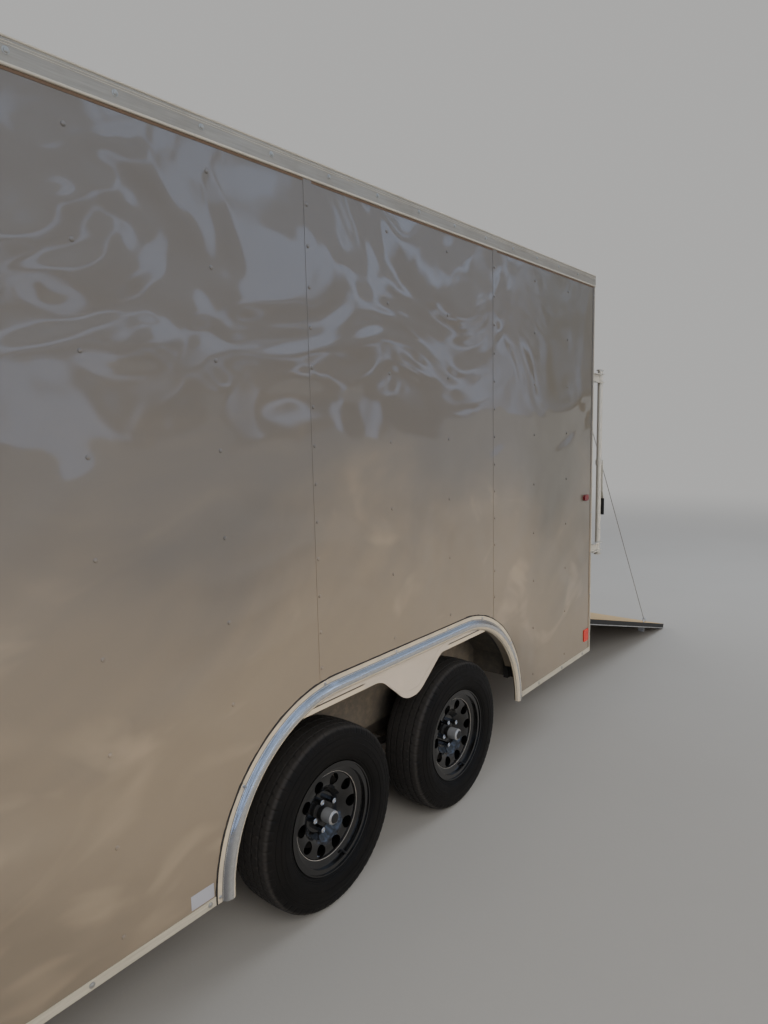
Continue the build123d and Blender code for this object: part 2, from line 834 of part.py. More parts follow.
with BuildPart() as fender_flares:
    for x, turn in ((axle_mid + arch_front_x, 90), (axle_mid + arch_rear_x, -90)):
        with BuildSketch(Plane.YZ.offset(x)):
            flare_profile()
        revolve(axis=Axis((x, 0, arch_z), (0, 1, 0)), revolution_arc=turn)
    with BuildSketch(Plane.YZ.offset(axle_mid + arch_rear_x)):
        flare_profile()
    extrude(amount=arch_front_x - arch_rear_x)
    mirror(about=Plane.XZ)
save(fender_flares, "fender_flares")

# Skirts: the sheet in each arch, with its drop between the wheels and its folded edge
skirt_edge_z = skin_bottom + skirt_edge
skirt_low_z = skin_bottom + skirt_low
skirt_reach = flare_radius + arch_front_x


def skirt_face(radius, raised):
    # What is within a radius of the arch and above the skirt's edge, raised by the fold
    edge = skirt_edge_z + raised
    low = skirt_low_z + raised
    front = axle_mid + skirt_reach
    rear = axle_mid - skirt_reach
    with BuildLine() as outline:
        FilletPolyline(
            (front, edge), (axle_mid + skirt_drop_front, edge), (axle_mid + skirt_low_front, low),
            (axle_mid + skirt_low_rear, low), (axle_mid + skirt_drop_rear, edge), (rear, edge),
            radius=[skirt_end_round, skirt_low_round, skirt_low_round, skirt_rear_round])
        Polyline((rear, edge), (rear, box_top), (front, box_top), (front, edge))
    with BuildSketch(side_plane(0), mode=Mode.PRIVATE) as face:
        arch_face(radius)
        make_face(outline.edges(), mode=Mode.INTERSECT)
    return face.sketch_local


with BuildPart() as fender_skirts:
    with BuildSketch(side_plane(half_width)):
        add(skirt_face(cut_radius, 0))
    extrude(amount=skirt_sheet)
    lip_radius = flare_radius - flare_width - 2 * flare_sheet
    with BuildSketch(side_plane(half_width + skirt_lip_sheet)):
        add(skirt_face(lip_radius, 0))
        add(skirt_face(lip_radius, skirt_lip), mode=Mode.SUBTRACT)
    extrude(amount=skirt_lip_sheet)
    mirror(about=Plane.XZ)
save(fender_skirts, "fender_skirts")

# Rear frame: posts, header, the fixed halves of the ramp hinges and of the bar lock hinges
ramp_plane = Plane(origin=(pin_x, 0, pin_z), x_dir=(-cos(slope), 0, -sin(slope)),
                   z_dir=(-sin(slope), 0, cos(slope)))
hinge_places = [-ramp_half + hinge_edge + k * 2 * (ramp_half - hinge_edge) / (hinge_count - 1)
                for k in range(hinge_count)]
lock_pin_x = rear_x - lock_pin_out
lock_low = floor_top + lock_above_floor
lock_high = lock_low + lock_length
lock_arm_heights = [lock_low + lock_arm_inset, lock_high - lock_arm_inset]

with BuildPart() as rear_frame:
    for side in (-1, 1):
        block((rear_x, sill_rear), sorted((side * post_inner_y, side * frame_y)), (frame_bottom, ceiling))
    block((rear_x, sill_rear), (-post_inner_y, post_inner_y), (header_bottom, ceiling))
    for y in hinge_places:
        for start in (y - 1.5 * knuckle_length - knuckle_gap, y + knuckle_length / 2 + knuckle_gap):
            rod((pin_x, start, pin_z), (pin_x, start + knuckle_length, pin_z), hinge_barrel_radius)
            block((pin_x, sill_rear), (start, start + knuckle_length), (pin_z - hinge_leaf_depth, pin_z))
        rod((pin_x, y - knuckle_length, pin_z), (pin_x, y + knuckle_length, pin_z), hinge_pin_radius)
    for side in (-1, 1):
        pin_y = side * lock_pin_y
        for z in lock_arm_heights:
            reach = lock_arm_height / 2 + knuckle_gap + lock_knuckle
            for low in (z - reach, z + reach - lock_knuckle):
                rod((lock_pin_x, pin_y, low), (lock_pin_x, pin_y, low + lock_knuckle), hinge_barrel_radius)
                block((lock_pin_x, rear_x), (pin_y - lock_arm_sheet / 2, pin_y + lock_arm_sheet / 2),
                      (low, low + lock_knuckle))
            block((rear_x - lock_leaf_sheet, rear_x),
                  sorted((side * (frame_y - post_width / 2), side * frame_y)), (z - reach, z + reach))
            rod((lock_pin_x, pin_y, z - reach), (lock_pin_x, pin_y, z + reach), hinge_pin_radius)
save(rear_frame, "rear_frame")

# Ramp door, lowered: its steel frame and outer sheet with the moving knuckles, and the plywood deck on them
deck_bottom = ramp_face_above_pin - ramp_deck_sheet
with BuildPart() as ramp_door:
    with BuildSketch(ramp_plane.offset(-ramp_under_pin)):
        with Locations((ramp_root + ramp_length / 2, 0)):
            Rectangle(ramp_length, 2 * ramp_half)
    extrude(amount=ramp_thickness - ramp_deck_sheet)
    for y in hinge_places:
        with BuildSketch(Plane(origin=(pin_x, y + knuckle_length / 2, pin_z),
                               x_dir=(-cos(slope), 0, -sin(slope)), z_dir=(0, 1, 0))):
            Circle(hinge_barrel_radius)
            with Locations((ramp_root / 2, -hinge_barrel_radius / 2)):
                Rectangle(ramp_root, hinge_barrel_radius)
            Circle(hinge_pin_radius + hinge_clearance, mode=Mode.SUBTRACT)
        extrude(amount=-knuckle_length)
save(ramp_door, "ramp_door")

with BuildPart() as ramp_deck:
    with BuildSketch(ramp_plane.offset(deck_bottom)):
        with Locations((ramp_root + ramp_length / 2, 0)):
            Rectangle(ramp_length, 2 * ramp_half)
    extrude(amount=ramp_deck_sheet)
save(ramp_deck, "ramp_deck")

# Ramp hardware: the cables' eyebolts on its edge, the keepers for the bar locks and the rubber bumpers
lock_closed_y = lock_pin_y - lock_arm
eye_above = ramp_face_above_pin + eye_height
ring_x = pin_x - eye_along_ramp * cos(slope) - eye_above * sin(slope)
ring_z = pin_z - eye_along_ramp * sin(slope) + eye_above * cos(slope)
keepers = [  # height of the shelf above the pin, side of the cam that it is on
    (lock_high + keeper_gap - pin_z, 1),
    (lock_low - keeper_gap - pin_z, -1)]
with BuildPart() as ramp_hardware:
    for side in (-1, 1):
        with BuildSketch(ramp_plane.offset(ramp_face_above_pin)):
            with Locations((eye_along_ramp, side * cable_y)):
                Circle(eye_shank_radius)
        extrude(amount=eye_height - eye_ring_radius)
        with Locations(Plane(origin=(ring_x, side * cable_y, ring_z), z_dir=(-cos(slope), 0, -sin(slope)))):
            Torus(eye_ring_radius, eye_wire_radius)
        for shelf, beyond in keepers:
            with BuildSketch(ramp_plane.offset(-ramp_under_pin)):
                with Locations((shelf + beyond * keeper_width / 2, side * lock_closed_y)):
                    RectangleRounded(keeper_width, keeper_width, keeper_sheet)
            extrude(amount=-keeper_plate)
            with BuildSketch(ramp_plane.offset(-ramp_under_pin)):
                with Locations((shelf + beyond * keeper_sheet / 2, side * lock_closed_y)):
                    Rectangle(keeper_sheet, keeper_width)
            extrude(amount=-keeper_reach)
        low_shelf = keepers[1][0]
        with BuildSketch(ramp_plane.offset(-ramp_under_pin)):
            with Locations((low_shelf - keeper_width - bumper_from_keeper, side * lock_closed_y)):
                Circle(bumper_radius)
        extrude(amount=-bumper_height, taper=bumper_taper)
save(ramp_hardware, "ramp_hardware")

# Bar locks, swung out: tube, cam ends, two channel arms and the hanging handle
pivot_lock_z = lock_low + handle_above_lock
for side, side_name in ((1, "left"), (-1, "right")):
    pin_y = side * lock_pin_y
    tube_x = lock_pin_x - lock_arm
    with BuildPart() as bar_lock:
        rod((tube_x, pin_y, lock_low), (tube_x, pin_y, lock_high), lock_tube_radius)
        for low in (lock_low, lock_high - lock_cam_height):
            rod((tube_x, pin_y, low), (tube_x, pin_y, low + lock_cam_height), lock_cam_radius)
        for z in lock_arm_heights:
            low = z - lock_arm_height / 2
            high = z + lock_arm_height / 2
            block((tube_x, lock_pin_x), (pin_y - lock_arm_sheet / 2, pin_y + lock_arm_sheet / 2), (low, high))
            for edge in (low, high - lock_arm_sheet):
                block((tube_x - lock_tube_radius, lock_pin_x - hinge_barrel_radius - knuckle_gap),
                      sorted((pin_y, pin_y + side * lock_arm_flange)), (edge, edge + lock_arm_sheet))
            rod((lock_pin_x, pin_y, low), (lock_pin_x, pin_y, high), hinge_barrel_radius)
            rod((lock_pin_x, pin_y, low), (lock_pin_x, pin_y, high), hinge_pin_radius + hinge_clearance,
                Mode.SUBTRACT)
        rod((tube_x, pin_y, pivot_lock_z - handle_collar), (tube_x, pin_y, pivot_lock_z + handle_collar),
            lock_tube_radius + lock_arm_sheet)
        rod((tube_x, pin_y, pivot_lock_z), (tube_x - handle_bend[0][0] - handle_sheet, pin_y, pivot_lock_z),
            handle_pivot_radius)
        path = [(tube_x - handle_bend[0][0], pivot_lock_z + handle_top)]
        path += [(tube_x - out, pivot_lock_z - down) for out, down in handle_bend[1:]]
        back = [(x - handle_sheet, z) for x, z in reversed(path)]
        with BuildSketch(side_plane(pin_y + handle_width / 2)):
            with BuildLine():
                Polyline(*path, *back, close=True)
            make_face()
        extrude(amount=handle_width)
        grip_out, grip_low = handle_bend[-1]
        with BuildSketch(Plane.XY.offset(pivot_lock_z - grip_low)):
            with Locations((tube_x - grip_out - handle_sheet / 2, pin_y)):
                RectangleRounded(grip_depth, grip_width, grip_depth * grip_rounding)
        extrude(amount=grip_length)
    save(bar_lock, f"bar_lock_{side_name}")

# Ramp counterbalance under the ceiling: shaft, torsion springs with their cones, cable drums and brackets
spring_x = rear_x + spring_setback
spring_z = ceiling - spring_drop
spring_far = cable_y - spring_to_drum
bracket_y = cable_y - bracket_inset
with BuildPart() as ramp_spring:
    rod((spring_x, -cable_y - cable_drum_width / 2, spring_z),
        (spring_x, cable_y + cable_drum_width / 2, spring_z), spring_shaft_radius)
    for side in (-1, 1):
        near = side * (cable_y - cable_drum_width / 2)
        far = side * (cable_y + cable_drum_width / 2)
        rod((spring_x, near, spring_z), (spring_x, far, spring_z), cable_drum_radius)
        rod((spring_x, near, spring_z), (spring_x, near - side * cable_drum_flange_sheet, spring_z),
            cable_drum_radius + cable_drum_flange)
        rod((spring_x, side * spring_to_middle, spring_z), (spring_x, side * spring_far, spring_z),
            spring_coil_radius)
        for cone in (side * spring_to_middle, side * (spring_far - spring_cone_length)):
            rod((spring_x, cone, spring_z), (spring_x, cone + side * spring_cone_length, spring_z),
                spring_cone_radius)
    for y in (-bracket_y, 0, bracket_y):
        with BuildSketch(side_plane(y + bracket_sheet / 2)):
            with Locations((spring_x, (ceiling + spring_z) / 2)):
                Trapezoid(3 * bracket_radius, spring_drop, bracket_taper, rotation=180)
            with Locations((spring_x, spring_z)):
                Circle(bracket_radius)
        extrude(amount=bracket_sheet)
save(ramp_spring, "ramp_spring")

# Cables, each from the underside of its drum straight to the eye on the ramp
cable_arm = cable_drum_radius + cable_radius + cable_clearance


def cable_lean(x, z):
    # Slope of a cable from an eye up to the underside of its drum
    rise = spring_z - z
    run = spring_x - x
    return atan2(rise, run) - asin(cable_arm / hypot(rise, run))


cable_slope = cable_lean(ring_x, ring_z)
with BuildPart() as ramp_cables:
    start = (spring_x + cable_arm * sin(cable_slope), cable_y, spring_z - cable_arm * cos(cable_slope))
    rod(start, (ring_x, cable_y, ring_z), cable_radius)
    mirror(about=Plane.XZ)
save(ramp_cables, "ramp_cables")

# Leaf springs: two a side, with an equalizer between them
beam_z = axle_z - axle_drop
seat_z = beam_z + axle_tube_radius
stack = leaf_thickness * len(leaf_half_lengths)
leaf_bottom = seat_z + stack - leaf_thickness
camber = eye_z - eye_radius + leaf_thickness / 2 - leaf_bottom
bow_radius = (spring_half_length ** 2 + camber ** 2) / (2 * camber)


def leaf_face(x, number, half_length):
    bow_z = leaf_bottom + bow_radius
    outer = bow_radius + number * leaf_thickness
    inner = outer - leaf_thickness
    spread = degrees(half_length / bow_radius)
    with BuildLine() as outline:
        low = CenterArc((x, bow_z), outer, -90 - spread, 2 * spread)
        high = CenterArc((x, bow_z), inner, -90 - spread, 2 * spread)
        Line(low @ 0, high @ 0)
        Line(low @ 1, high @ 1)
    make_face(outline.edges())


with BuildPart() as leaf_springs:
    for side in (-1, 1):
        for x in (axle_mid + axle_spacing / 2, axle_mid - axle_spacing / 2):
            with BuildSketch(side_plane(side * rail_y + spring_width / 2)):
                for number, half_length in enumerate(leaf_half_lengths):
                    leaf_face(x, number, half_length)
                for end in (-1, 1):
                    with Locations((x + end * spring_half_length, eye_z)):
                        Circle(eye_radius)
            extrude(amount=spring_width)
            block((x - clip_length / 2, x + clip_length / 2),
                  (side * rail_y - clip_width / 2, side * rail_y + clip_width / 2),
                  (leaf_bottom + leaf_thickness, leaf_bottom + 3 * leaf_thickness))
            for u_bolt_x in (x - u_bolt_half_pitch, x + u_bolt_half_pitch):
                for y in (side * rail_y - u_bolt_offset, side * rail_y + u_bolt_offset):
                    rod((u_bolt_x, y, seat_z + u_bolt_lift), (u_bolt_x, y, leaf_bottom + 4 * leaf_thickness),
                        u_bolt_radius)
        with BuildSketch(side_plane(side * rail_y + spring_width / 2)):
            with Locations((axle_mid, pivot_z)):
                SlotCenterToCenter(2 * equalizer_half, equalizer_height)
        extrude(amount=spring_width)
        for end in (-1, 1):
            link = (end * equalizer_half, pivot_z)
            eye = (end * (axle_spacing / 2 - spring_half_length), eye_z)
            run = hypot(eye[0] - link[0], eye[1] - link[1])
            lean = degrees(atan2(eye[1] - link[1], eye[0] - link[0]))
            for cheek in (-1, 1):
                y = side * rail_y + cheek * (spring_width + shackle_sheet) / 2
                with BuildSketch(side_plane(y + shackle_sheet / 2)):
                    with Locations((axle_mid + (link[0] + eye[0]) / 2, (link[1] + eye[1]) / 2)):
                        SlotCenterToCenter(run, 2 * eye_radius, rotation=lean)
                extrude(amount=shackle_sheet)
        for place, bolt_z in hanger_table:
            reach = spring_width / 2 + 2 * hanger_sheet + knuckle_gap
            rod((axle_mid + place, side * rail_y - reach, bolt_z),
                (axle_mid + place, side * rail_y + reach, bolt_z), spring_bolt_radius)
            for cheek in (-1, 1):
                head = side * rail_y + cheek * (spring_width / 2 + hanger_sheet + knuckle_gap)
                rod((axle_mid + place, head, bolt_z), (axle_mid + place, head + cheek * hanger_sheet, bolt_z),
                    bolt_head_radius)
save(leaf_springs, "leaf_springs")

# Axles: a dropped tube with spring seats, spindles and brake backing plates
arm_y = rail_y + spring_width / 2 + plate_gap
plate_y = wheel_y - drum_depth - plate_gap
flange_y = plate_y - flange_length
for x, name in ((axle_mid + axle_spacing / 2, "axle_front"), (axle_mid - axle_spacing / 2, "axle_rear")):
    with BuildPart() as axle:
        rod((x, -arm_y, beam_z), (x, arm_y, beam_z), axle_tube_radius)
        for side in (-1, 1):
            arm = [(arm_y - arm_reach, beam_z - arm_height), (arm_y + arm_reach, beam_z - arm_height),
                   (flange_y, axle_z - arm_height), (flange_y, axle_z + arm_height),
                   (flange_y - arm_reach, axle_z + arm_height), (arm_y + plate_gap, beam_z + arm_height),
                   (arm_y - arm_reach, beam_z + arm_height)]
            with BuildSketch(Plane.YZ.offset(x - axle_tube_radius)):
                with BuildLine():
                    Polyline(*[(side * y, z) for y, z in arm], close=True)
                make_face()
            extrude(amount=2 * axle_tube_radius)
            rod((x, side * (flange_y - 1), axle_z), (x, side * (wheel_y + spindle_past), axle_z),
                spindle_radius)
            rod((x, side * (plate_y - plate_sheet), axle_z), (x, side * plate_y, axle_z),
                drum_outer_radius - plate_sheet)
            rod((x, side * flange_y, axle_z), (x, side * plate_y, axle_z), 2 * spindle_radius)
            block((x - seat_half_length, x + seat_half_length),
                  (side * rail_y - clip_width / 2, side * rail_y + clip_width / 2),
                  (seat_z - plate_gap, seat_z))
    save(axle, name)


# Wheels
def wheel_plane(x, side):
    # Section plane of a wheel: local x outward along the axle, local y up
    return Plane(origin=(x, side * wheel_y, axle_z), x_dir=(0, side, 0), z_dir=(side, 0, 0))


def spin(x):
    revolve(axis=Axis((x, 0, axle_z), (0, 1, 0)))


def tyre_section():
    half = rim_half_width
    bulge = tyre_width / 2
    shoulder = tyre_radius - shoulder_radius_drop
    tread_half = bulge - shoulder_in
    widest = flange_radius + sidewall_widest * (tyre_radius - flange_radius)
    lip = (half + sidewall_gap, flange_radius + sidewall_gap / 2)
    upper = (bulge - shoulder_upper[0], tyre_radius - shoulder_upper[1])
    corner = (bulge - shoulder_corner[0], tyre_radius - shoulder_corner[1])
    with BuildLine() as outline:
        Line((-half, bead_radius), (half, bead_radius))
        for s in (-1, 1):
            Polyline((s * half, bead_radius), (s * half, flange_radius), (s * lip[0], lip[1]))
            ThreePointArc((s * lip[0], lip[1]), (s * bulge, widest), (s * upper[0], upper[1]))
            ThreePointArc((s * upper[0], upper[1]), (s * corner[0], corner[1]), (s * tread_half, shoulder))
        ThreePointArc((tread_half, shoulder), (0, tyre_radius), (-tread_half, shoulder))
    make_face(outline.edges())


def rim_section():
    half = rim_half_width
    lip = half + rim_flange
    seat = bead_radius
    well = well_radius
    sheet = rim_sheet
    outer = well_outer + well_shoulder
    inner = well_inner - well_ramp
    with BuildLine() as outline:
        Polyline(
            (lip, flange_radius), (half, flange_radius), (half, seat), (outer, seat), (well_outer, well),
            (well_inner, well), (inner, seat), (-half, seat), (-half, flange_radius), (-lip, flange_radius),
            (-lip, flange_radius - sheet), (-half - sheet, flange_radius - sheet),
            (-half - sheet, seat - sheet),
            (inner - rim_turn, seat - sheet), (well_inner - rim_turn, well - sheet),
            (well_outer + rim_turn, well - sheet), (outer + rim_turn, seat - sheet),
            (half + sheet, seat - sheet), (half + sheet, flange_radius - sheet),
            (lip, flange_radius - sheet), close=True)
    make_face(outline.edges())


def disc_section():
    sheet = disc_sheet
    back = pad_face - sheet
    edge = well_radius - rim_sheet
    crest = disc_hole_circle + disc_turn
    lip = edge - sheet - disc_turn
    with BuildLine() as outline:
        Polyline((back, hub_bore_radius), (pad_face, hub_bore_radius), (pad_face, pad_radius - sheet),
                 (disc_step, pad_radius + 3 * sheet))
        ThreePointArc((disc_step, pad_radius + 3 * sheet), (disc_crown, crest),
                      (disc_crown - 1, edge - sheet))
        Polyline((disc_crown - 1, edge - sheet), (disc_crown - 2 * sheet, edge), (disc_seat, edge),
                 (disc_seat, edge - sheet), (disc_crown - 2 * sheet, lip))
        ThreePointArc((disc_crown - 2 * sheet, lip), (disc_crown - sheet - 1, crest),
                      (disc_step - sheet, pad_radius + 4 * sheet))
        Polyline((disc_step - sheet, pad_radius + 4 * sheet), (back, pad_radius), (back, hub_bore_radius))
    make_face(outline.edges())


def hub_section():
    flange = pad_face - disc_sheet
    drum = drum_outer_radius
    inside = drum - drum_sheet
    bore = spindle_radius + running_fit
    barrel = hub_bore_radius - barrel_fit
    pad = pad_radius - disc_sheet - barrel_fit
    collar = pad_face + barrel_past_pad
    with BuildLine() as outline:
        Polyline(
            (-drum_depth - plate_sheet, bore), (-drum_depth - plate_sheet, barrel), (-plate_gap, barrel),
            (-plate_gap, inside), (-drum_depth, inside), (-drum_depth, drum), (0, drum), (0, pad),
            (flange, pad),
            (flange, barrel), (collar, barrel), (collar + plate_sheet, cap_radius),
            (cap_reach - cap_round, cap_radius), (cap_reach, cap_radius - cap_round),
            (cap_reach, plug_radius),
            (cap_reach + plug_proud, plug_radius - plug_proud), (cap_reach + plug_proud, 0), (cap_room, 0),
            (cap_room, bore), close=True)
    make_face(outline.edges())


wheel_table = [  # name, place, side
    ("front_left", axle_mid + axle_spacing / 2, 1),
    ("front_right", axle_mid + axle_spacing / 2, -1),
    ("rear_left", axle_mid - axle_spacing / 2, 1),
    ("rear_right", axle_mid - axle_spacing / 2, -1)]
for name, x, side in wheel_table:
    section = wheel_plane(x, side)
    face = Plane(origin=(x, side * wheel_y, axle_z), x_dir=(side, 0, 0), z_dir=(0, side, 0))
    with BuildPart() as tyre:
        with BuildSketch(section):
            tyre_section()
        spin(x)
    save(tyre, f"tyre_{name}")
    with BuildPart() as rim:
        with BuildSketch(section):
            rim_section()
        spin(x)
        with BuildSketch(section):
            disc_section()
        spin(x)
        with BuildSketch(face.offset(disc_seat / 2)):
            with PolarLocations(disc_hole_circle, disc_hole_count):
                Circle(disc_hole_radius)
        extrude(amount=disc_crown, mode=Mode.SUBTRACT)
        with BuildSketch(face):
            with PolarLocations(lug_circle, lug_count):
                Circle(stud_radius + stud_fit)
        extrude(amount=pad_face + disc_sheet, mode=Mode.SUBTRACT)
    save(rim, f"rim_{name}")
    with BuildPart() as hub:
        with BuildSketch(section):
            hub_section()
        spin(x)
        with BuildSketch(face.offset(pad_face - disc_sheet)):
            with PolarLocations(lug_circle, lug_count):
                Circle(stud_radius)
        extrude(amount=disc_sheet)
        with BuildSketch(face.offset(pad_face)):
            with PolarLocations(lug_circle, lug_count):
                RegularPolygon(nut_radius, 6)
        extrude(amount=nut_length)
        with BuildSketch(face.offset(pad_face + nut_length - stud_recess)):
            with PolarLocations(lug_circle, lug_count):
                Circle(stud_radius)
        extrude(amount=stud_recess, mode=Mode.SUBTRACT)
    save(hub, f"hub_{name}")

# Lamps: tail lamps on the posts, marker lamps and reflectors
marker_z = floor_top + marker_above_floor
reflector_z = floor_top + reflector_above_floor
header_z = roof_edge - header_lamp_below_roof
side_lamps = [  # colour, place along, height, lamp
    ("red", rear_x + marker_from_rear, marker_z, marker),
    ("red", rear_x + reflector_from_rear, reflector_z, reflector),
    ("amber", front_x - lamp_from_front, marker_z, marker),
    ("amber", front_x - lamp_from_front, reflector_z, reflector)]
rear_lamps = [  # place across, height, seat, lamp
    (frame_y - post_width / 2, floor_top + tail_lamp_above_floor, rear_x, tail),
    (0, header_z, rear_x - rail_trim_sheet, rear_marker),
    (header_lamp_pitch, header_z, rear_x - rail_trim_sheet, rear_marker),
    (half_width - header_lamp_inset, header_z, rear_x - rail_trim_sheet, rear_marker)]


def lens(origin, x_dir, z_dir, lamp):
    length, tall, depth, rounding = lamp
    with BuildSketch(Plane(origin=origin, x_dir=x_dir, z_dir=z_dir)) as outline:
        RectangleRounded(length, tall, min(length, tall) * rounding)
    extrude(outline.sketch, amount=depth)


for colour in ("red", "amber"):
    with BuildPart() as lamps:
        for side in (-1, 1):
            for lamp_colour, x, z, lamp in side_lamps:
                if lamp_colour == colour:
                    lens((x, side * half_width, z), (side, 0, 0), (0, side, 0), lamp)
            for y, z, seat, lamp in rear_lamps:
                if colour == "red" and (y or side > 0):
                    lens((seat, side * y, z), (0, 1, 0), (-1, 0, 0), lamp)
    save(lamps, f"lamps_{colour}")

swing = 90 + degrees(slope)
closed_slope = cable_lean(pin_x + eye_above, pin_z + eye_along_ramp)
print(f"ramp swings {swing:.3f} deg, cable {degrees(cable_slope - closed_slope):.3f} deg")
print(f"axle_mid {axle_mid:.2f} rear_x {rear_x:.2f} front_x {front_x:.2f} tip_x {tip_x:.2f}")
print(f"ramp pin {pin_x:.2f} {pin_z:.2f}, lock pin {lock_pin_x:.2f}")
print(f"door pin {door_pin_x:.2f} {door_pin_y:.2f}")
print(f"spring {spring_x:.2f} {spring_z:.2f}, socket {socket_x:.2f} {socket_z:.2f}, jack {jack_x:.2f}")
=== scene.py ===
import json
from math import atan2, cos, hypot, pi, radians, sin

import bpy
import numpy as np
from mathutils import Matrix, Vector


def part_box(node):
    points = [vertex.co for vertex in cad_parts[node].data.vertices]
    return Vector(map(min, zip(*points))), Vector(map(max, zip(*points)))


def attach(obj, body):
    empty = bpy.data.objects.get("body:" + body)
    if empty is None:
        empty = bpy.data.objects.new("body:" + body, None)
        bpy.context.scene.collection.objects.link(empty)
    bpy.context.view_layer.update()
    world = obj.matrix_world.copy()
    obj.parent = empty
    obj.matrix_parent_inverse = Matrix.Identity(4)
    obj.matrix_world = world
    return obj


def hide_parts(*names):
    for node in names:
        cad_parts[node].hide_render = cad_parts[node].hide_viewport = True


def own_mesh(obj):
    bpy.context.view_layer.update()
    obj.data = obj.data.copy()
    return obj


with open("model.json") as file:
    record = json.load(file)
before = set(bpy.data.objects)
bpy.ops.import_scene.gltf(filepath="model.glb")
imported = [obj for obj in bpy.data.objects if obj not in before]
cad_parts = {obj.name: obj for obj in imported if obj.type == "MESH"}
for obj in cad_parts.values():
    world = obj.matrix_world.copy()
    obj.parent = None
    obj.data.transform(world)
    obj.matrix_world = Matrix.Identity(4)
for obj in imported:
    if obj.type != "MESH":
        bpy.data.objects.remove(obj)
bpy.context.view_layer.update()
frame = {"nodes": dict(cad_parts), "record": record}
nodes = frame["nodes"]

# Places that the model's solids give, in metres
AXLE_MID = -0.33303
AXLE_HALF = 0.4275
AXLE_Z = 0.344
WHEEL_Y = 1.165
REAR_X = -2.27103
FRONT_X = 2.60597
HALF = 1.275
WALL = 0.045
NOSE_DEPTH = 0.640
NOSE_RADIUS = 0.130
FRAME_TOP = 0.531
FLOOR = 0.550
ROOF_EDGE = 2.645
SKIN_LOW = 0.339
RAIL_LOW = 2.582
SEAMS = [-1.07703, 0.14197, 1.36097]
STUD_PITCH = 0.406
DOOR = (1.52697, 2.33997, 0.555, 2.385)  # rear, front, low, high
GUARD_HIGH = 0.610
ARCH_FRONT = AXLE_MID + 0.420
ARCH_REAR = AXLE_MID - 0.455
FLARE_R = 0.560
FLARE_FLANGE = 0.0205
FLARE_WIDTH = 0.064
LAMP_Y, LAMP_Z = 1.225, 0.780
RAMP_PIN = (-2.22903, 0.540)
RAMP_SLOPE = radians(14.767)
RAMP_HALF = 1.178
RAMP_FACE, RAMP_UNDER = 0.008, 0.031
SPRING = (-2.03303, 2.500)
CABLE_Y = 1.162
LOCK_PIVOT = 1.530
BOX_HALF = 1.0
REFLECTOR_TOP = 0.52
STUDS = [SEAMS[1] + (k - 6) * STUD_PITCH for k in range(12)]

# Where looks change within one solid, in metres
CAP, PLUG, NUTS_FROM = (0.0275, 0.0425), (0.0192, 0.0885), (0.0412, 0.0135)  # radius, distance out
SLEEVE_TOP, SLEEVE_LOW, SLEEVE_X = LOCK_PIVOT - 0.234, LOCK_PIVOT - 0.342, -2.466
# Where the skirt's painted lit lip and the painted shadow line above it are
LIP_TOP = SKIN_LOW + 0.457 + 0.017
LIP_FRONT = AXLE_MID + 0.250
LIP_REAR = AXLE_MID - 0.300
LIP_FADE = 0.03
FOLD_SHADOW_HALF = 0.003

# Places and sizes of the small parts that are made here, in metres
ROW_LOW, ROW_PITCH = 0.4265, 0.2595
LAP_BACK, LAP_AHEAD, LAP_PROUD = 0.012, 0.026, 0.0014
LAP_SCREW, LAP_SCREW_PROUD = 0.014, 0.0013
RAIL_PROUD, FLARE_PROUD, TRIM_PROUD, GUARD_PROUD = 0.003, 0.003, 0.002, 0.002
RAIL_SCREW_REAR, RAIL_SCREW_PITCH, RAIL_SCREW_Z = -2.011, 0.2570, 2.615
LOW_SCREW_Z = SKIN_LOW + 0.014
TREAD_PITCH, TREAD_EDGE = 0.0245, 0.022
SURROUND_Y, SURROUND_Z = 0.0335, 0.1055
RIM_HIGHLIGHT_RINGS = [(0.1620, 0.0545), (0.1985, 0.0765)]
VALVE_RADIUS, VALVE_OUT, VALVE_TURN = 0.176, 0.055, radians(200)
NUTS, NUT_CIRCLE, NUT_OUT = 5, 0.05715, 0.046
STRANDS, STRAND_RADIUS, STRAND_REACH, ROPE_LAY, ROPE_STEP = 5, 0.0012, 0.0014, 0.030, 0.004
COIL_NEAR, COIL_FAR, COIL_PITCH, COIL_RADIUS, COIL_WIRE = 0.100, 0.943, 0.0085, 0.0305, 0.0034
COIL_SIDES = 14

# Camera and light
LENS = 24.059
CAMERA_PLACE = (1.82283, 2.90815, 1.78385)
YAW, PITCH, ROLL = 3.81784, -0.12406, -0.02192
camera_data = bpy.data.cameras.new("camera")
camera_data.lens = LENS
camera_data.sensor_width = 36
camera_data.clip_start = 0.05
camera_data.clip_end = 200
camera = bpy.data.objects.new("camera", camera_data)
bpy.context.scene.collection.objects.link(camera)
look = Vector((cos(YAW) * cos(PITCH), sin(YAW) * cos(PITCH), sin(PITCH)))
right = look.cross(Vector((0, 0, 1))).normalized()
up = right.cross(look)
across = right * cos(ROLL) + up * sin(ROLL)
upward = up * cos(ROLL) - right * sin(ROLL)
turn = Matrix((across, upward, -look)).transposed().to_4x4()
camera.matrix_world = Matrix.Translation(CAMERA_PLACE) @ turn
bpy.context.scene.camera = camera


def area_light(name, place, target, size, power, colour, mirrored, spread=180):
    """A soft lamp that looks at its target and isn't seen by the camera."""
    data = bpy.data.lights.new(name, "AREA")
    data.shape = "RECTANGLE"
    data.size, data.size_y = size
    data.energy = power
    data.color = colour
    light = bpy.data.objects.new(name, data)
    bpy.context.scene.collection.objects.link(light)
    light.location = place
    light.rotation_euler = (Vector(target) - Vector(place)).to_track_quat("-Z", "Y").to_euler()
    light.visible_camera = False
    light.visible_glossy = mirrored
    data.spread = radians(spread)


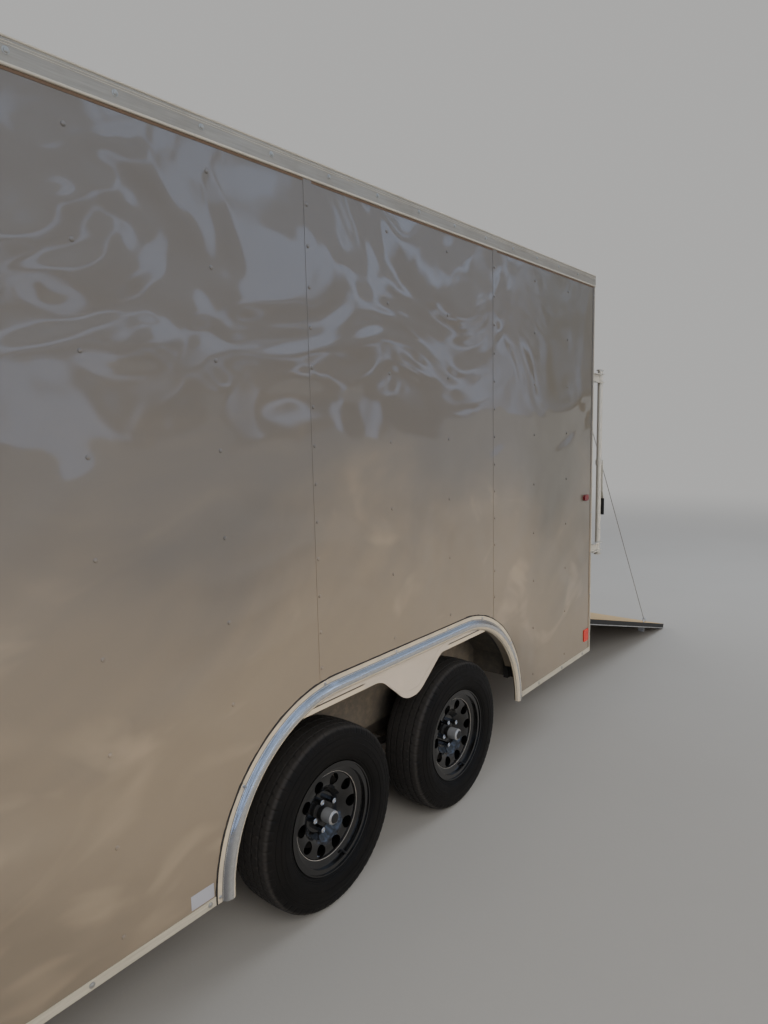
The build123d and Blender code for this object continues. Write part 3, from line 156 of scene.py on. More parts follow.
for light in [
        ("key", (3.5, 8.5, 6.5), (-0.5, 0.5, 1.0), (7, 5), 450, (1.0, 0.96, 0.90), False),
        ("rim", (-8.0, 3.0, 5.5), (-1.5, 0.8, 1.2), (4, 3), 220, (0.92, 0.96, 1.0), False),
        ("far", (2.0, -9.0, 6.0), (0.0, -1.0, 1.0), (6, 4), 420, (1.0, 0.98, 0.95), True),
        ("bounce", (-0.6, 7.5, 0.9), (-0.6, 1.3, 1.1), (9, 1.2), 38, (1.0, 0.84, 0.66), False, 50)]:
    area_light(*light)


class Nodes:
    """A node tree, with a short call for each kind of node that is used here."""

    def __init__(self, tree, coordinates):
        self.tree = tree
        self.place = self.node("ShaderNodeTexCoord").outputs[coordinates]

    def put(self, socket, value):
        """A value or a link into a socket."""
        if isinstance(value, bpy.types.NodeSocket):
            self.tree.links.new(value, socket)
        elif isinstance(value, tuple) and len(value) == 3 and socket.type == "RGBA":
            socket.default_value = (*value, 1)
        else:
            socket.default_value = value

    def node(self, kind, inputs=None, **settings):
        made = self.tree.nodes.new(kind)
        for key, value in settings.items():
            setattr(made, key, value)
        for socket, value in (inputs or {}).items():
            self.put(made.inputs[socket], value)
        return made

    def stretched(self, scale):
        if scale is None:
            return self.place
        return self.node("ShaderNodeMapping", {"Vector": self.place, "Scale": scale}).outputs[0]

    def noise(self, scale, detail=3.0, rough=0.55, stretch=None, twist=0.0):
        inputs = {"Vector": self.stretched(stretch), "Scale": scale, "Detail": detail,
                  "Roughness": rough, "Distortion": twist}
        return self.node("ShaderNodeTexNoise", inputs).outputs["Fac"]

    def cells(self, scale):
        inputs = {"Vector": self.place, "Scale": scale}
        return self.node("ShaderNodeTexVoronoi", inputs).outputs["Color"]

    def waves(self, scale, axis, twist, stretch=None):
        inputs = {"Vector": self.stretched(stretch), "Scale": scale, "Distortion": twist, "Detail": 2}
        made = self.node("ShaderNodeTexWave", inputs, wave_type="BANDS", bands_direction=axis)
        return made.outputs["Fac"]

    def ramp(self, value, low, high, start=0.0, end=1.0, **settings):
        """start at low and end at high, with an even run between them."""
        inputs = {"Value": value, "From Min": low, "From Max": high, "To Min": start, "To Max": end}
        return self.node("ShaderNodeMapRange", inputs, **settings).outputs["Result"]

    def smooth(self, value, low, high):
        """0 at low and 1 at high, with an eased run between them."""
        start, end = (0.0, 1.0) if low < high else (1.0, 0.0)
        return self.ramp(value, min(low, high), max(low, high), start, end,
                         interpolation_type="SMOOTHSTEP")

    def math(self, kind, a, b=0.0):
        return self.node("ShaderNodeMath", {0: a, 1: b}, operation=kind).outputs[0]

    def plus(self, a, b):
        return self.math("ADD", a, b)

    def minus(self, a, b):
        return self.math("SUBTRACT", a, b)

    def times(self, a, b):
        return self.math("MULTIPLY", a, b)

    def above(self, a, b):
        """1 where a is more than b."""
        return self.math("GREATER_THAN", a, b)

    def below(self, a, b):
        """1 where a is less than b."""
        return self.math("LESS_THAN", a, b)

    def length(self, a, b):
        """How far it is to go a one way and b across it."""
        return self.math("SQRT", self.plus(self.times(a, a), self.times(b, b)))

    def mix(self, share, a, b):
        """a where the share is 0 and b where it is 1."""
        return self.node("ShaderNodeMix", {0: share, 6: a, 7: b}, data_type="RGBA").outputs[2]

    def split(self, vector=None):
        return self.node("ShaderNodeSeparateXYZ", {0: vector or self.place}).outputs


class Finish(Nodes):
    """One procedural material."""

    def __init__(self, name, metal=0.0, rough=0.5, **sockets):
        self.material = bpy.data.materials.new(name)
        self.material.use_nodes = True
        super().__init__(self.material.node_tree, "Object")
        self.shader = self.tree.nodes["Principled BSDF"]
        self.set(Metallic=metal, Roughness=rough, **sockets)

    def set(self, **sockets):
        for key, value in sockets.items():
            self.put(self.shader.inputs[key.replace("_", " ")], value)

    def colour(self, value):
        self.set(Base_Color=value)

    def facing(self):
        """The surface's direction in the piece's own axes."""
        normal = self.node("ShaderNodeNewGeometry").outputs["True Normal"]
        turned = self.node("ShaderNodeVectorTransform", {0: normal}, vector_type="NORMAL",
                           convert_from="WORLD", convert_to="OBJECT")
        return self.split(turned.outputs[0])

    def bump(self, height, depth, under=None):
        """A normal that follows a height, over the normal under it."""
        made = self.node("ShaderNodeBump", {"Height": height, "Distance": depth})
        if under is not None:
            self.put(made.inputs["Normal"], under)
        return made.outputs["Normal"]

    def cover(self, share, other):
        """Show another shader where the share is 1."""
        both = self.node("ShaderNodeMixShader", {0: share, 1: self.shader.outputs[0], 2: other.outputs[0]})
        self.put(self.tree.nodes["Material Output"].inputs["Surface"], both.outputs[0])


# World: a plain pale backdrop, with a soft sky and patches of cloud in what is mirrored
PALE = (0.49, 0.486, 0.475)
world = bpy.data.worlds.new("studio")
bpy.context.scene.world = world
world.use_nodes = True
sky = Nodes(world.node_tree, "Generated")
x, _, z = sky.split()
plain = sky.mix(sky.ramp(z, 0.0, 0.5), (0.200, 0.158, 0.108), (0.40, 0.47, 0.56))
cloud = sky.noise(4.2, 3.0, 0.5, stretch=(1.0, 1.0, 2.2), twist=1.1)
open_sky = sky.times(sky.smooth(cloud, 0.46, 0.60), sky.smooth(x, -0.95, -0.78))
mirrored = sky.mix(open_sky, plain, (0.86, 1.13, 1.66))
rays = sky.node("ShaderNodeLightPath").outputs
lit = sky.mix(rays["Is Glossy Ray"], (0.362, 0.364, 0.372), mirrored)
seen = sky.mix(rays["Is Camera Ray"], lit, PALE)
sky.put(sky.tree.nodes["Background"].inputs["Color"], seen)


def tinted(by, *colour):
    return tuple(by * c for c in colour)


def plywood_colour(finish, base=(0.47, 0.30, 0.155), dark=(0.30, 0.175, 0.085), along=(0.6, 7.0, 7.0)):
    """The colour of bare plywood, and its grain."""
    grain = finish.noise(3.2, 9, 0.62, stretch=along, twist=1.4)
    rings = finish.waves(1.1, "Y", 9.0, stretch=(0.12, 1.0, 1.0))
    tone = finish.mix(finish.ramp(grain, 0.34, 0.68), dark, base)
    return finish.mix(finish.times(rings, 0.28), tone, (0.55, 0.37, 0.21)), grain


def body_paint(name, inner=None, share=1.0, painted_light_factor=1.0):
    """A glossy warm grey over slightly oil-canned sheet, with painted warm reflection and painted shade
    low down, and bare plywood where inner gives 1.
    """
    paint = Finish(name, metal=0.25, rough=0.36, Coat_Weight=1.0, Coat_Roughness=0.035, Coat_IOR=1.5)
    x, _, z = paint.split()
    flake = paint.ramp(paint.noise(2600, 1), 0.35, 0.65)
    # painted_light_factor makes a lighter copy of the same paint: painted light
    base = paint.mix(flake, tinted(painted_light_factor, 0.118, 0.110, 0.102), tinted(painted_light_factor, 0.166, 0.156, 0.145))
    rear = paint.smooth(x, -1.20, -1.75)
    base = paint.mix(paint.times(rear, 0.60), base, tinted(painted_light_factor, 0.098, 0.088, 0.062))
    # Painted warm reflection of the ground on the lower half, with a wandering edge and lighter spots of
    # painted reflection, and painted shade at the foot
    wander = paint.noise(0.9, 4, 0.55, stretch=(0.8, 0.8, 1.3), twist=0.7)
    wander = paint.ramp(wander, 0.25, 0.75, -0.38, 0.38)
    level = paint.plus(paint.plus(z, wander), paint.times(rear, 0.34))
    warm_reflection = paint.times(paint.smooth(level, 1.85, 0.95), share)
    warm_reflection = paint.times(warm_reflection, paint.ramp(paint.smooth(x, 0.85, 1.60), 0, 1, 1.0, 0.66))
    base = paint.mix(paint.times(warm_reflection, 0.66), base, tinted(painted_light_factor, 0.345, 0.275, 0.192))
    # Painted shade at the foot of the sheet
    foot = paint.times(paint.smooth(level, 0.85, 0.35), share)
    base = paint.mix(paint.times(foot, 0.70), base, (0.168, 0.140, 0.102))
    spots = paint.smooth(paint.noise(2.1, 2, 0.5, stretch=(0.9, 1.0, 1.5), twist=1.6), 0.54, 0.76)
    spots = paint.times(paint.times(spots, warm_reflection), 0.42)
    base = paint.mix(spots, base, tinted(painted_light_factor, 0.500, 0.400, 0.285))
    # The sheet is drawn in a little at each screw, and swells between the studs
    near_x = paint.math("PINGPONG", paint.minus(x, SEAMS[1]), STUD_PITCH / 2)
    near_z = paint.math("PINGPONG", paint.minus(z, ROW_LOW), ROW_PITCH / 2)
    normal = paint.bump(paint.noise(1.25, 2, 0.5, stretch=(0.9, 1.0, 1.15), twist=1.1), 0.034)
    normal = paint.bump(paint.noise(4.5, 1, 0.4, twist=0.5), 0.0034, under=normal)
    normal = paint.bump(paint.smooth(paint.length(near_x, near_z), 0.0, 0.10), 0.0010, under=normal)
    peel = paint.bump(paint.noise(420, 2), 0.00006, under=normal)
    if name == "skirt_paint":
        base = paint_lit_lip_and_shadow(paint, base)
    if name == "door_paint":
        proud = door_hardware(paint)
        base = paint.mix(proud, base, (0.42, 0.42, 0.415))
        paint.set(Metallic=paint.plus(0.25, paint.times(proud, 0.60)),
                  Coat_Weight=paint.minus(1.0, proud))
    paint.colour(base)
    paint.set(Normal=peel, Coat_Normal=normal)
    if inner is not None:
        wood, grain = plywood_colour(paint, along=(7.0, 7.0, 0.5))
        lining = {"Base Color": wood, "Roughness": 0.62, "Normal": paint.bump(grain, 0.0012)}
        paint.cover(inner(paint), paint.node("ShaderNodeBsdfPrincipled", lining))
    return paint.material


def door_hardware(paint):
    """A mask of what stands proud of the door's sheet: hinge straps and the latch."""
    return paint.below(paint.split()[1], -HALF - 0.0008)


def paint_lit_lip_and_shadow(paint, base):
    """Painted light as a bright lip along the skirt's level runs, and a painted shadow line just above it.
    """
    x, _, z = paint.split()
    run = paint.math("MAXIMUM", paint.smooth(x, LIP_FRONT, LIP_FRONT + LIP_FADE),
                     paint.smooth(x, LIP_REAR, LIP_REAR - LIP_FADE))
    lip = paint.times(run, paint.below(z, LIP_TOP))
    from_fold = paint.math("ABSOLUTE", paint.minus(z, LIP_TOP + FOLD_SHADOW_HALF))
    fold_shadow = paint.times(run, paint.below(from_fold, FOLD_SHADOW_HALF))
    # Painted light on the lip, then the painted shadow line above it
    base = paint.mix(lip, base, (0.70, 0.61, 0.46))
    return paint.mix(fold_shadow, base, (0.060, 0.048, 0.036))


def flare_metal():
    """Polished flares, with a cream painted warm reflection on the flange and the lip and painted shade in
    the hollow beside the crest.
    """
    sheet = Finish("flare_metal", metal=0.95, rough=0.13)
    x, _, z = sheet.split()
    past = sheet.math("MAXIMUM", sheet.minus(x, ARCH_FRONT), sheet.minus(ARCH_REAR, x))
    past = sheet.math("MAXIMUM", past, 0.0)
    depth = sheet.minus(FLARE_R, sheet.length(past, sheet.minus(z, SKIN_LOW)))
    lines = sheet.noise(90, 3, 0.6, stretch=(1, 0.4, 1))
    marks = sheet.noise(5.5, 6, 0.6)
    bright = sheet.mix(sheet.ramp(lines, 0.3, 0.7), (0.66, 0.66, 0.65), (0.80, 0.80, 0.79))
    # Painted shade beside the crest, and painted warm reflection on the flange and the lip
    valley_shade = sheet.smooth(depth, 0.040, 0.024)
    metal = sheet.mix(sheet.times(valley_shade, 0.80), bright, (0.30, 0.31, 0.34))
    warm_reflection = sheet.math("MAXIMUM", sheet.smooth(depth, 0.019, 0.014), sheet.smooth(depth, 0.047, 0.052))
    warm_reflection = sheet.times(warm_reflection, sheet.ramp(marks, 0.25, 0.55, 0.55, 1.0))
    sheet.colour(sheet.mix(warm_reflection, metal, (0.60, 0.53, 0.41)))
    sheet.set(Metallic=sheet.minus(0.95, sheet.times(warm_reflection, 0.80)),
              Roughness=sheet.ramp(marks, 0.3, 0.8, 0.10, 0.26), Normal=sheet.bump(lines, 0.00004))
    return sheet.material


def inward(paint):
    """1 on faces that look towards the middle plane, above the frame."""
    _, y, z = paint.split()
    towards = paint.times(paint.math("SIGN", y), paint.facing()[1])
    return paint.times(paint.below(towards, -0.5), paint.above(z, FRAME_TOP - 0.001))


def backward(paint):
    """1 on the nose's faces that look to the rear, above the frame."""
    return paint.times(paint.below(paint.facing()[0], -0.3),
                       paint.above(paint.split()[2], FRAME_TOP - 0.001))


def frame_paint():
    """Black paint with spots of rust, and road dust that is thicker near the ground."""
    paint = Finish("frame_paint", rough=0.38, Coat_Weight=0.25, Coat_Roughness=0.25)
    base = paint.mix(paint.noise(14, 5), (0.012, 0.012, 0.013), (0.030, 0.029, 0.028))
    rust = paint.ramp(paint.noise(5.0, 7), 0.62, 0.80, 0.0, 0.7)
    base = paint.mix(rust, base, (0.14, 0.085, 0.05))
    near_ground = paint.ramp(paint.split()[2], 0.7, 0.1)
    dust = paint.times(near_ground, paint.ramp(paint.noise(9.0, 6), 0.35, 0.75))
    paint.colour(paint.mix(paint.times(dust, 0.6), base, (0.23, 0.19, 0.145)))
    paint.set(Roughness=paint.ramp(paint.noise(22, 4), 0.3, 0.7, 0.30, 0.55),
              Normal=paint.bump(paint.noise(160, 4), 0.0006))
    return paint.material


def plywood():
    """The lining and the floor, worn grey in places."""
    wood = Finish("plywood", rough=0.6)
    colour, grain = plywood_colour(wood)
    worn = wood.ramp(wood.noise(2.4, 6), 0.45, 0.75, 0.0, 0.45)
    wood.colour(wood.mix(worn, colour, (0.27, 0.20, 0.135)))
    wood.set(Normal=wood.bump(grain, 0.0012), Roughness=wood.ramp(grain, 0.3, 0.7, 0.52, 0.72))
    return wood.material


def box_lining():
    """The sheet inside the wheel boxes, with road spray."""
    sheet = Finish("box_lining", metal=0.35, rough=0.62)
    base = sheet.mix(sheet.noise(6, 6), (0.085, 0.075, 0.062), (0.17, 0.155, 0.13))
    spray = sheet.ramp(sheet.noise(26, 8, 0.7), 0.45, 0.7, 0.0, 0.8)
    sheet.colour(sheet.mix(spray, base, (0.22, 0.185, 0.14)))
    sheet.set(Normal=sheet.bump(sheet.noise(40, 6), 0.0015))
    return sheet.material


def brushed(name, base, dark, rough, along, scale=160, metal=1.0, stain=0.25, depth=0.00012):
    """Brushed or rolled metal: lines along one way, and darker stains."""
    sheet = Finish(name, metal=metal, rough=rough)
    lines = sheet.noise(scale, 3, 0.6, stretch=along)
    marks = sheet.noise(5.5, 6, 0.6)
    tone = sheet.mix(sheet.ramp(lines, 0.3, 0.7), dark, base)
    stains = sheet.ramp(marks, 0.50, 0.78, 0.0, stain)
    sheet.colour(sheet.mix(stains, tone, tinted(0.62, *dark)))
    sheet.set(Roughness=sheet.ramp(marks, 0.3, 0.8, rough - 0.06, rough + 0.16),
              Normal=sheet.bump(lines, depth))
    return sheet.material


def galvanised():
    zinc = Finish("galvanised", metal=0.85, rough=0.42)
    spangle = zinc.split(zinc.cells(95))
    base = zinc.mix(spangle[0], (0.50, 0.51, 0.52), (0.68, 0.69, 0.70))
    zinc.colour(zinc.mix(zinc.ramp(zinc.noise(9, 6), 0.52, 0.75, 0.0, 0.5), base, (0.40, 0.38, 0.35)))
    zinc.set(Roughness=zinc.ramp(spangle[1], 0, 1, 0.34, 0.54),
             Normal=zinc.bump(zinc.noise(140, 4), 0.0003))
    return zinc.material


def lens_plastic(name, base, glow, bright):
    """A moulded lens. The square reflectors low on the sides are brighter than the lamps."""
    lens = Finish(name, rough=0.25, Coat_Weight=0.35, Coat_Roughness=0.05, Specular_IOR_Level=0.3)
    prism = lens.split(lens.cells(210))
    tone = lens.mix(prism[0], base, glow)
    reflector = lens.mix(prism[2], tinted(0.86, *bright), bright)
    lens.colour(lens.mix(lens.below(lens.split()[2], REFLECTOR_TOP), tone, reflector))
    lens.set(Normal=lens.bump(prism[1], 0.0003))
    return lens.material


def moulded(name, base, dark, rough=0.5, grain=240, depth=0.0003, dusty=0.0):
    """Plastic, rubber or a brown strip, with a fine grain and some dust."""
    plastic = Finish(name, rough=rough)
    tone = plastic.mix(plastic.noise(7, 5), dark, base)
    dust = plastic.ramp(plastic.noise(18, 6), 0.5, 0.8, 0.0, dusty)
    plastic.colour(plastic.mix(dust, tone, (0.24, 0.20, 0.155)))
    plastic.set(Normal=plastic.bump(plastic.noise(grain, 3), depth),
                Roughness=plastic.ramp(plastic.noise(30, 3), 0.3, 0.7, rough - 0.08, rough + 0.08))
    return plastic.material


def wheel_place(finish):
    """Distance from the axle's line and out from the wheel's middle plane, for each of the wheels."""
    x, y, z = finish.split()
    along = finish.minus(finish.math("ABSOLUTE", finish.minus(x, AXLE_MID)), AXLE_HALF)
    radius = finish.length(along, finish.minus(z, AXLE_Z))
    return radius, finish.minus(finish.math("ABSOLUTE", y), WHEEL_Y)


def tyre_rubber():
    rubber = Finish("tyre_rubber", rough=0.70, Specular_IOR_Level=0.16)
    radius = wheel_place(rubber)[0]
    fresh = rubber.mix(rubber.noise(30, 6), (0.0030, 0.0029, 0.0028), (0.0070, 0.0066, 0.0063))
    dust = rubber.ramp(rubber.noise(7, 7, 0.65), 0.40, 0.75)
    # A lighter tread: painted sheen
    tread = rubber.smooth(radius, 0.326, 0.338)
    dusty = rubber.times(dust, rubber.ramp(radius, 0.21, 0.33, 0.10, 0.30))
    tone = rubber.mix(dusty, fresh, (0.028, 0.024, 0.021))
    rubber.colour(rubber.mix(rubber.times(tread, 0.6), tone, (0.055, 0.052, 0.050)))
    rubber.set(Normal=rubber.bump(rubber.noise(380, 4), 0.0003),
               Roughness=rubber.ramp(dust, 0, 1, 0.50, 0.78))
    return rubber.material


def wheel_black():
    paint = Finish("wheel_black", rough=0.18, Coat_Weight=0.5, Coat_Roughness=0.03)
    base = paint.mix(paint.noise(9, 5), (0.0035, 0.0035, 0.004), (0.008, 0.0078, 0.0076))
    dust = paint.ramp(paint.noise(16, 8, 0.7), 0.55, 0.82, 0.0, 0.16)
    paint.colour(paint.mix(dust, base, (0.085, 0.072, 0.058)))
    paint.set(Roughness=paint.ramp(dust, 0, 0.16, 0.14, 0.30),
              Normal=paint.bump(paint.noise(220, 2), 0.00005))
    return paint.material


def hub_steel():
    """A black hub barrel with a light grey dust cap and its rubber plug, and chrome nuts."""
    hub = Finish("hub_steel", metal=1.0, rough=0.25)
    radius, out = wheel_place(hub)
    cap = hub.times(hub.below(radius, CAP[0]), hub.above(out, CAP[1]))
    plug = hub.times(hub.below(radius, PLUG[0]), hub.above(out, PLUG[1]))
    nut = hub.times(hub.above(radius, NUTS_FROM[0]), hub.above(out, NUTS_FROM[1]))
    black = hub.mix(hub.noise(30, 7), (0.006, 0.006, 0.006), (0.018, 0.017, 0.016))
    grey = hub.mix(hub.noise(26, 5), (0.27, 0.275, 0.28), (0.42, 0.425, 0.43))
    chrome = hub.mix(hub.noise(60, 4), (0.16, 0.16, 0.165), (0.28, 0.28, 0.285))
    tone = hub.mix(nut, hub.mix(cap, black, grey), chrome)
    hub.colour(hub.mix(plug, tone, (0.010, 0.010, 0.010)))
    shine = hub.math("MAXIMUM", nut, hub.times(cap, 0.45))
    hub.set(Metallic=hub.times(shine, hub.minus(1.0, plug)),
            Roughness=hub.minus(0.45, hub.times(nut, 0.25)),
            Normal=hub.bump(hub.noise(120, 3), 0.0002))
    return hub.material


def lock_metal():
    """Zinc-plated bar locks, with black sleeves on the hanging handles."""
    zinc = Finish("lock_zinc", metal=0.30, rough=0.46)
    x, _, z = zinc.split()
    spangle = zinc.noise(46, 5)
    base = zinc.mix(spangle, (0.47, 0.46, 0.42), (0.62, 0.605, 0.55))
    sleeve = zinc.times(zinc.below(z, SLEEVE_TOP), zinc.above(z, SLEEVE_LOW))
    sleeve = zinc.times(sleeve, zinc.below(x, SLEEVE_X))
    zinc.colour(zinc.mix(sleeve, base, (0.012, 0.012, 0.012)))
    zinc.set(Metallic=zinc.minus(0.30, zinc.times(sleeve, 0.30)),
             Roughness=zinc.ramp(spangle, 0.3, 0.7, 0.27, 0.46),
             Normal=zinc.bump(zinc.noise(170, 4), 0.0003))
    return zinc.material


def ramp_skin():
    """The ramp's frame is black at its edges, and its outer sheet is painted."""
    paint = Finish("ramp_skin", metal=0.10, rough=0.50, Specular_IOR_Level=0.2, Coat_Weight=0.06,
                   Coat_Roughness=0.2)
    outer = paint.below(paint.facing()[2], -0.8)
    base = paint.mix(paint.noise(3, 4), (0.205, 0.180, 0.155), (0.26, 0.23, 0.20))
    black = paint.mix(paint.noise(30, 5), (0.008, 0.008, 0.008), (0.020, 0.019, 0.018))
    paint.colour(paint.mix(outer, black, base))
    paint.set(Normal=paint.bump(paint.noise(3.4, 1, stretch=(1, 0.4, 1)), 0.006))
    return paint.material


def ramp_deck():
    """Yellow pine plywood, with its edges painted black."""
    wood = Finish("ramp_deck", rough=0.6)
    colour, grain = plywood_colour(wood, (0.58, 0.42, 0.215), (0.47, 0.32, 0.145))
    worn = wood.ramp(wood.noise(2.4, 6), 0.50, 0.80, 0.0, 0.40)
    tone = wood.mix(worn, colour, (0.36, 0.27, 0.165))
    edge = wood.below(wood.math("ABSOLUTE", wood.facing()[2]), 0.6)
    wood.colour(wood.mix(edge, tone, (0.014, 0.014, 0.013)))
    wood.set(Normal=wood.bump(grain, 0.0012), Roughness=wood.ramp(grain, 0.3, 0.7, 0.52, 0.72))
    return wood.material


def edge_aluminium():
    """Warm bare trim. The legs at the rear corners are painted, up to their bare outer edge."""
    trim = Finish("edge_aluminium", rough=0.36)
    x, _, z = trim.split()
    lines = trim.noise(160, 3, 0.6, stretch=(0.05, 1, 1))
    bare = trim.mix(trim.ramp(lines, 0.3, 0.7), (0.52, 0.485, 0.395), (0.66, 0.625, 0.52))
    corner = trim.times(trim.below(x, REAR_X + 0.030), trim.above(x, REAR_X + 0.007))
    corner = trim.times(corner, trim.above(z, SKIN_LOW + 0.030))
    # Lower on the painted legs, the same painted warm reflection as on the body
    warm_reflection = trim.smooth(z, 1.7, 0.9)
    painted = trim.mix(warm_reflection, (0.150, 0.141, 0.131), (0.270, 0.220, 0.160))
    trim.colour(trim.mix(corner, bare, painted))
    trim.set(Metallic=trim.minus(0.45, trim.times(corner, 0.20)), Normal=trim.bump(lines, 0.0001))
    return trim.material


def roof_sheet():
    """One bare sheet that shows the roof bows under it."""
    sheet = Finish("roof_sheet", metal=0.75, rough=0.36)
    streaks = sheet.noise(7, 6, 0.6, stretch=(1, 5, 1))
    sheet.colour(sheet.mix(streaks, (0.52, 0.53, 0.54), (0.70, 0.71, 0.72)))
    bows = sheet.waves(0.82, "X", 0.0)
    normal = sheet.bump(sheet.noise(2.2, 2), 0.012)
    sheet.set(Normal=sheet.bump(bows, 0.002, under=normal),
              Roughness=sheet.ramp(sheet.noise(5, 5), 0.3, 0.7, 0.28, 0.46))
    return sheet.material


def floor_finish():
    """A plain pale floor that runs into the backdrop far out."""
    ground = Finish("floor", rough=0.8)
    ground.colour(ground.mix(ground.noise(0.7, 5), (0.40, 0.392, 0.375), (0.45, 0.442, 0.425)))
    ground.set(Normal=ground.bump(ground.noise(60, 5), 0.0006))
    x, y, _ = ground.split()
    backdrop = ground.node("ShaderNodeEmission", {"Color": PALE})
    ground.cover(ground.smooth(ground.length(x, y), 4.5, 17.0), backdrop)
    return ground.material


# How far the lines of a brushed metal are stretched: not at all, or drawn out along x
EVEN = (1, 1, 1)
ROLLED = (0.05, 1, 1)
materials = {
    "frame_paint": frame_paint(),
    "body_paint": body_paint("body_paint"),
    "wall": body_paint("wall_paint", inward),
    "door": body_paint("door_paint", inward),
    # The skirt: the body paint made lighter as painted light, with less of the painted reflection and
    # shade
    "skirt": body_paint("skirt_paint", share=0.35, painted_light_factor=3.3),
    "nose": body_paint("nose_paint", backward),
    "ramp": ramp_skin(),
    "plywood": plywood(),
    "box_lining": box_lining(),
    "tread_plate": brushed(
        "tread_plate", (0.74, 0.745, 0.75), (0.62, 0.63, 0.64), 0.24, EVEN, 9, stain=0.12, depth=0.00003),
    "roof_sheet": roof_sheet(),
    "white_plastic": moulded(
        "white_plastic", (0.78, 0.78, 0.75), (0.66, 0.66, 0.62), 0.42, 90, 0.0004, 0.2),
    "rail_aluminium": brushed(
        "rail_aluminium", (0.36, 0.338, 0.29), (0.29, 0.272, 0.235), 0.38, ROLLED, metal=0.6),
    # The rail's beads and ribs: a lighter, less metallic copy of the rail, as painted highlight
    "rail_bead_highlight": brushed(
        "rail_bead_highlight", (0.50, 0.475, 0.415), (0.42, 0.395, 0.34), 0.40, ROLLED, metal=0.15),
    "screw_steel": brushed(
        "screw_steel", (0.42, 0.42, 0.395), (0.33, 0.33, 0.31), 0.34, EVEN, 200, metal=0.7),
    "edge_aluminium": edge_aluminium(),
    "brown_strip": moulded("brown_strip", (0.125, 0.082, 0.052), (0.085, 0.056, 0.037), 0.6, 60, 0.0002),
    "deck": ramp_deck(),
    "ramp_edge": brushed("ramp_edge", (0.78, 0.78, 0.77), (0.60, 0.60, 0.59), 0.28, ROLLED),
    "trim_aluminium": brushed(
        "trim_aluminium", (0.56, 0.555, 0.535), (0.42, 0.415, 0.395), 0.34, ROLLED),
    "polished_aluminium": brushed(
        "polished_aluminium", (0.80, 0.79, 0.76), (0.64, 0.63, 0.60), 0.13, (1, 0.4, 1), 90, stain=0.16,
        depth=0.00005),
    "flare_metal": flare_metal(),
    "galvanised": galvanised(),
    "lock": lock_metal(),
    "cable_steel": brushed("cable_steel", (0.50, 0.50, 0.50), (0.28, 0.28, 0.28), 0.38, EVEN, 300),
    "red_lens": lens_plastic(
        "red_lens", (0.085, 0.002, 0.005), (0.19, 0.005, 0.008), (0.60, 0.022, 0.006)),
    "amber_lens": lens_plastic(
        "amber_lens", (0.50, 0.13, 0.008), (0.72, 0.22, 0.015), (0.90, 0.34, 0.03)),
    "tyre_rubber": tyre_rubber(),
    "wheel_black": wheel_black(),
    "hub_steel": hub_steel(),
    "rim_highlight": moulded(
        "rim_highlight", (0.30, 0.295, 0.285), (0.12, 0.115, 0.11), 0.22, 200, 0.0001, 0.2),
    "chrome": brushed("chrome", (0.86, 0.86, 0.87), (0.70, 0.70, 0.71), 0.12, EVEN, 200),
    "seal": moulded("seal", (0.020, 0.019, 0.018), (0.010, 0.010, 0.010), 0.6, 120, 0.0005, 0.25),
    "label": moulded("label", (0.37, 0.385, 0.44), (0.32, 0.335, 0.39), 0.35, 60, 0.0001, 0.15)}

special = {"ramp_door": "ramp", "nose_panel_left": "nose", "nose_panel_right": "nose", "nose_cap": "nose",
           "bar_lock_left": "lock", "bar_lock_right": "lock", "side_door": "door",
           "fender_skirts": "skirt", "fender_flares": "flare_metal", "roof_rails": "rail_aluminium",
           "edge_trims": "edge_aluminium", "ramp_deck": "deck"}
for part in frame["record"]["subparts"]:
    name = part["node"]
    kind = special.get(name, "wall" if name.startswith("side_panel") else part["material_slot"])
    data = nodes[name].data
    data.materials.clear()
    data.materials.append(materials[kind])


# Mesh helpers: a form is (points, faces), and forms are joined into one piece
def joined(forms):
    points, faces, base = [], [], 0
    for some, loops in forms:
        points.append(some)
        faces += [tuple(i + base for i in loop) for loop in loops]
        base += len(some)
    return np.concatenate(points), faces


def placed(shape, origin, out=(0, 0, 1), along=None):
    """A form whose own z is turned to look out and whose own x lies along."""
    out = Vector(out).normalized()
    along = Vector(along) if along is not None else out.orthogonal()
    along = (along - out * along.dot(out)).normalized()
    basis = np.array([along, out.cross(along), out])
    return shape[0] @ basis + np.array(origin, float), shape[1]


def skin_of(rows, closed_along=False):
    """Faces over rings of points of equal length, capped at both ends or closed along."""
    rows = np.array(rows, float)
    count, width = rows.shape[:2]
    faces = []
    for i in range(count if closed_along else count - 1):
        j = (i + 1) % count
        for k in range(width):
            m = (k + 1) % width
            faces.append((i * width + k, i * width + m, j * width + m, j * width + k))
    if not closed_along:
        faces.append(tuple(reversed(range(width))))
        faces.append(tuple((count - 1) * width + k for k in range(width)))
    return rows.reshape(-1, 3), faces


def circle(sides):
    """Cosine and sine at even steps of a full turn."""
    return [(cos(2 * pi * k / sides), sin(2 * pi * k / sides)) for k in range(sides)]


def round_section(radius, sides=10):
    return [(radius * c, radius * s) for c, s in circle(sides)]


def lathe(profile, sides):
    """A turned form about its own z: profile of (radius, height)."""
    return skin_of([[(r * c, r * s, z) for c, s in circle(sides)] for r, z in profile])


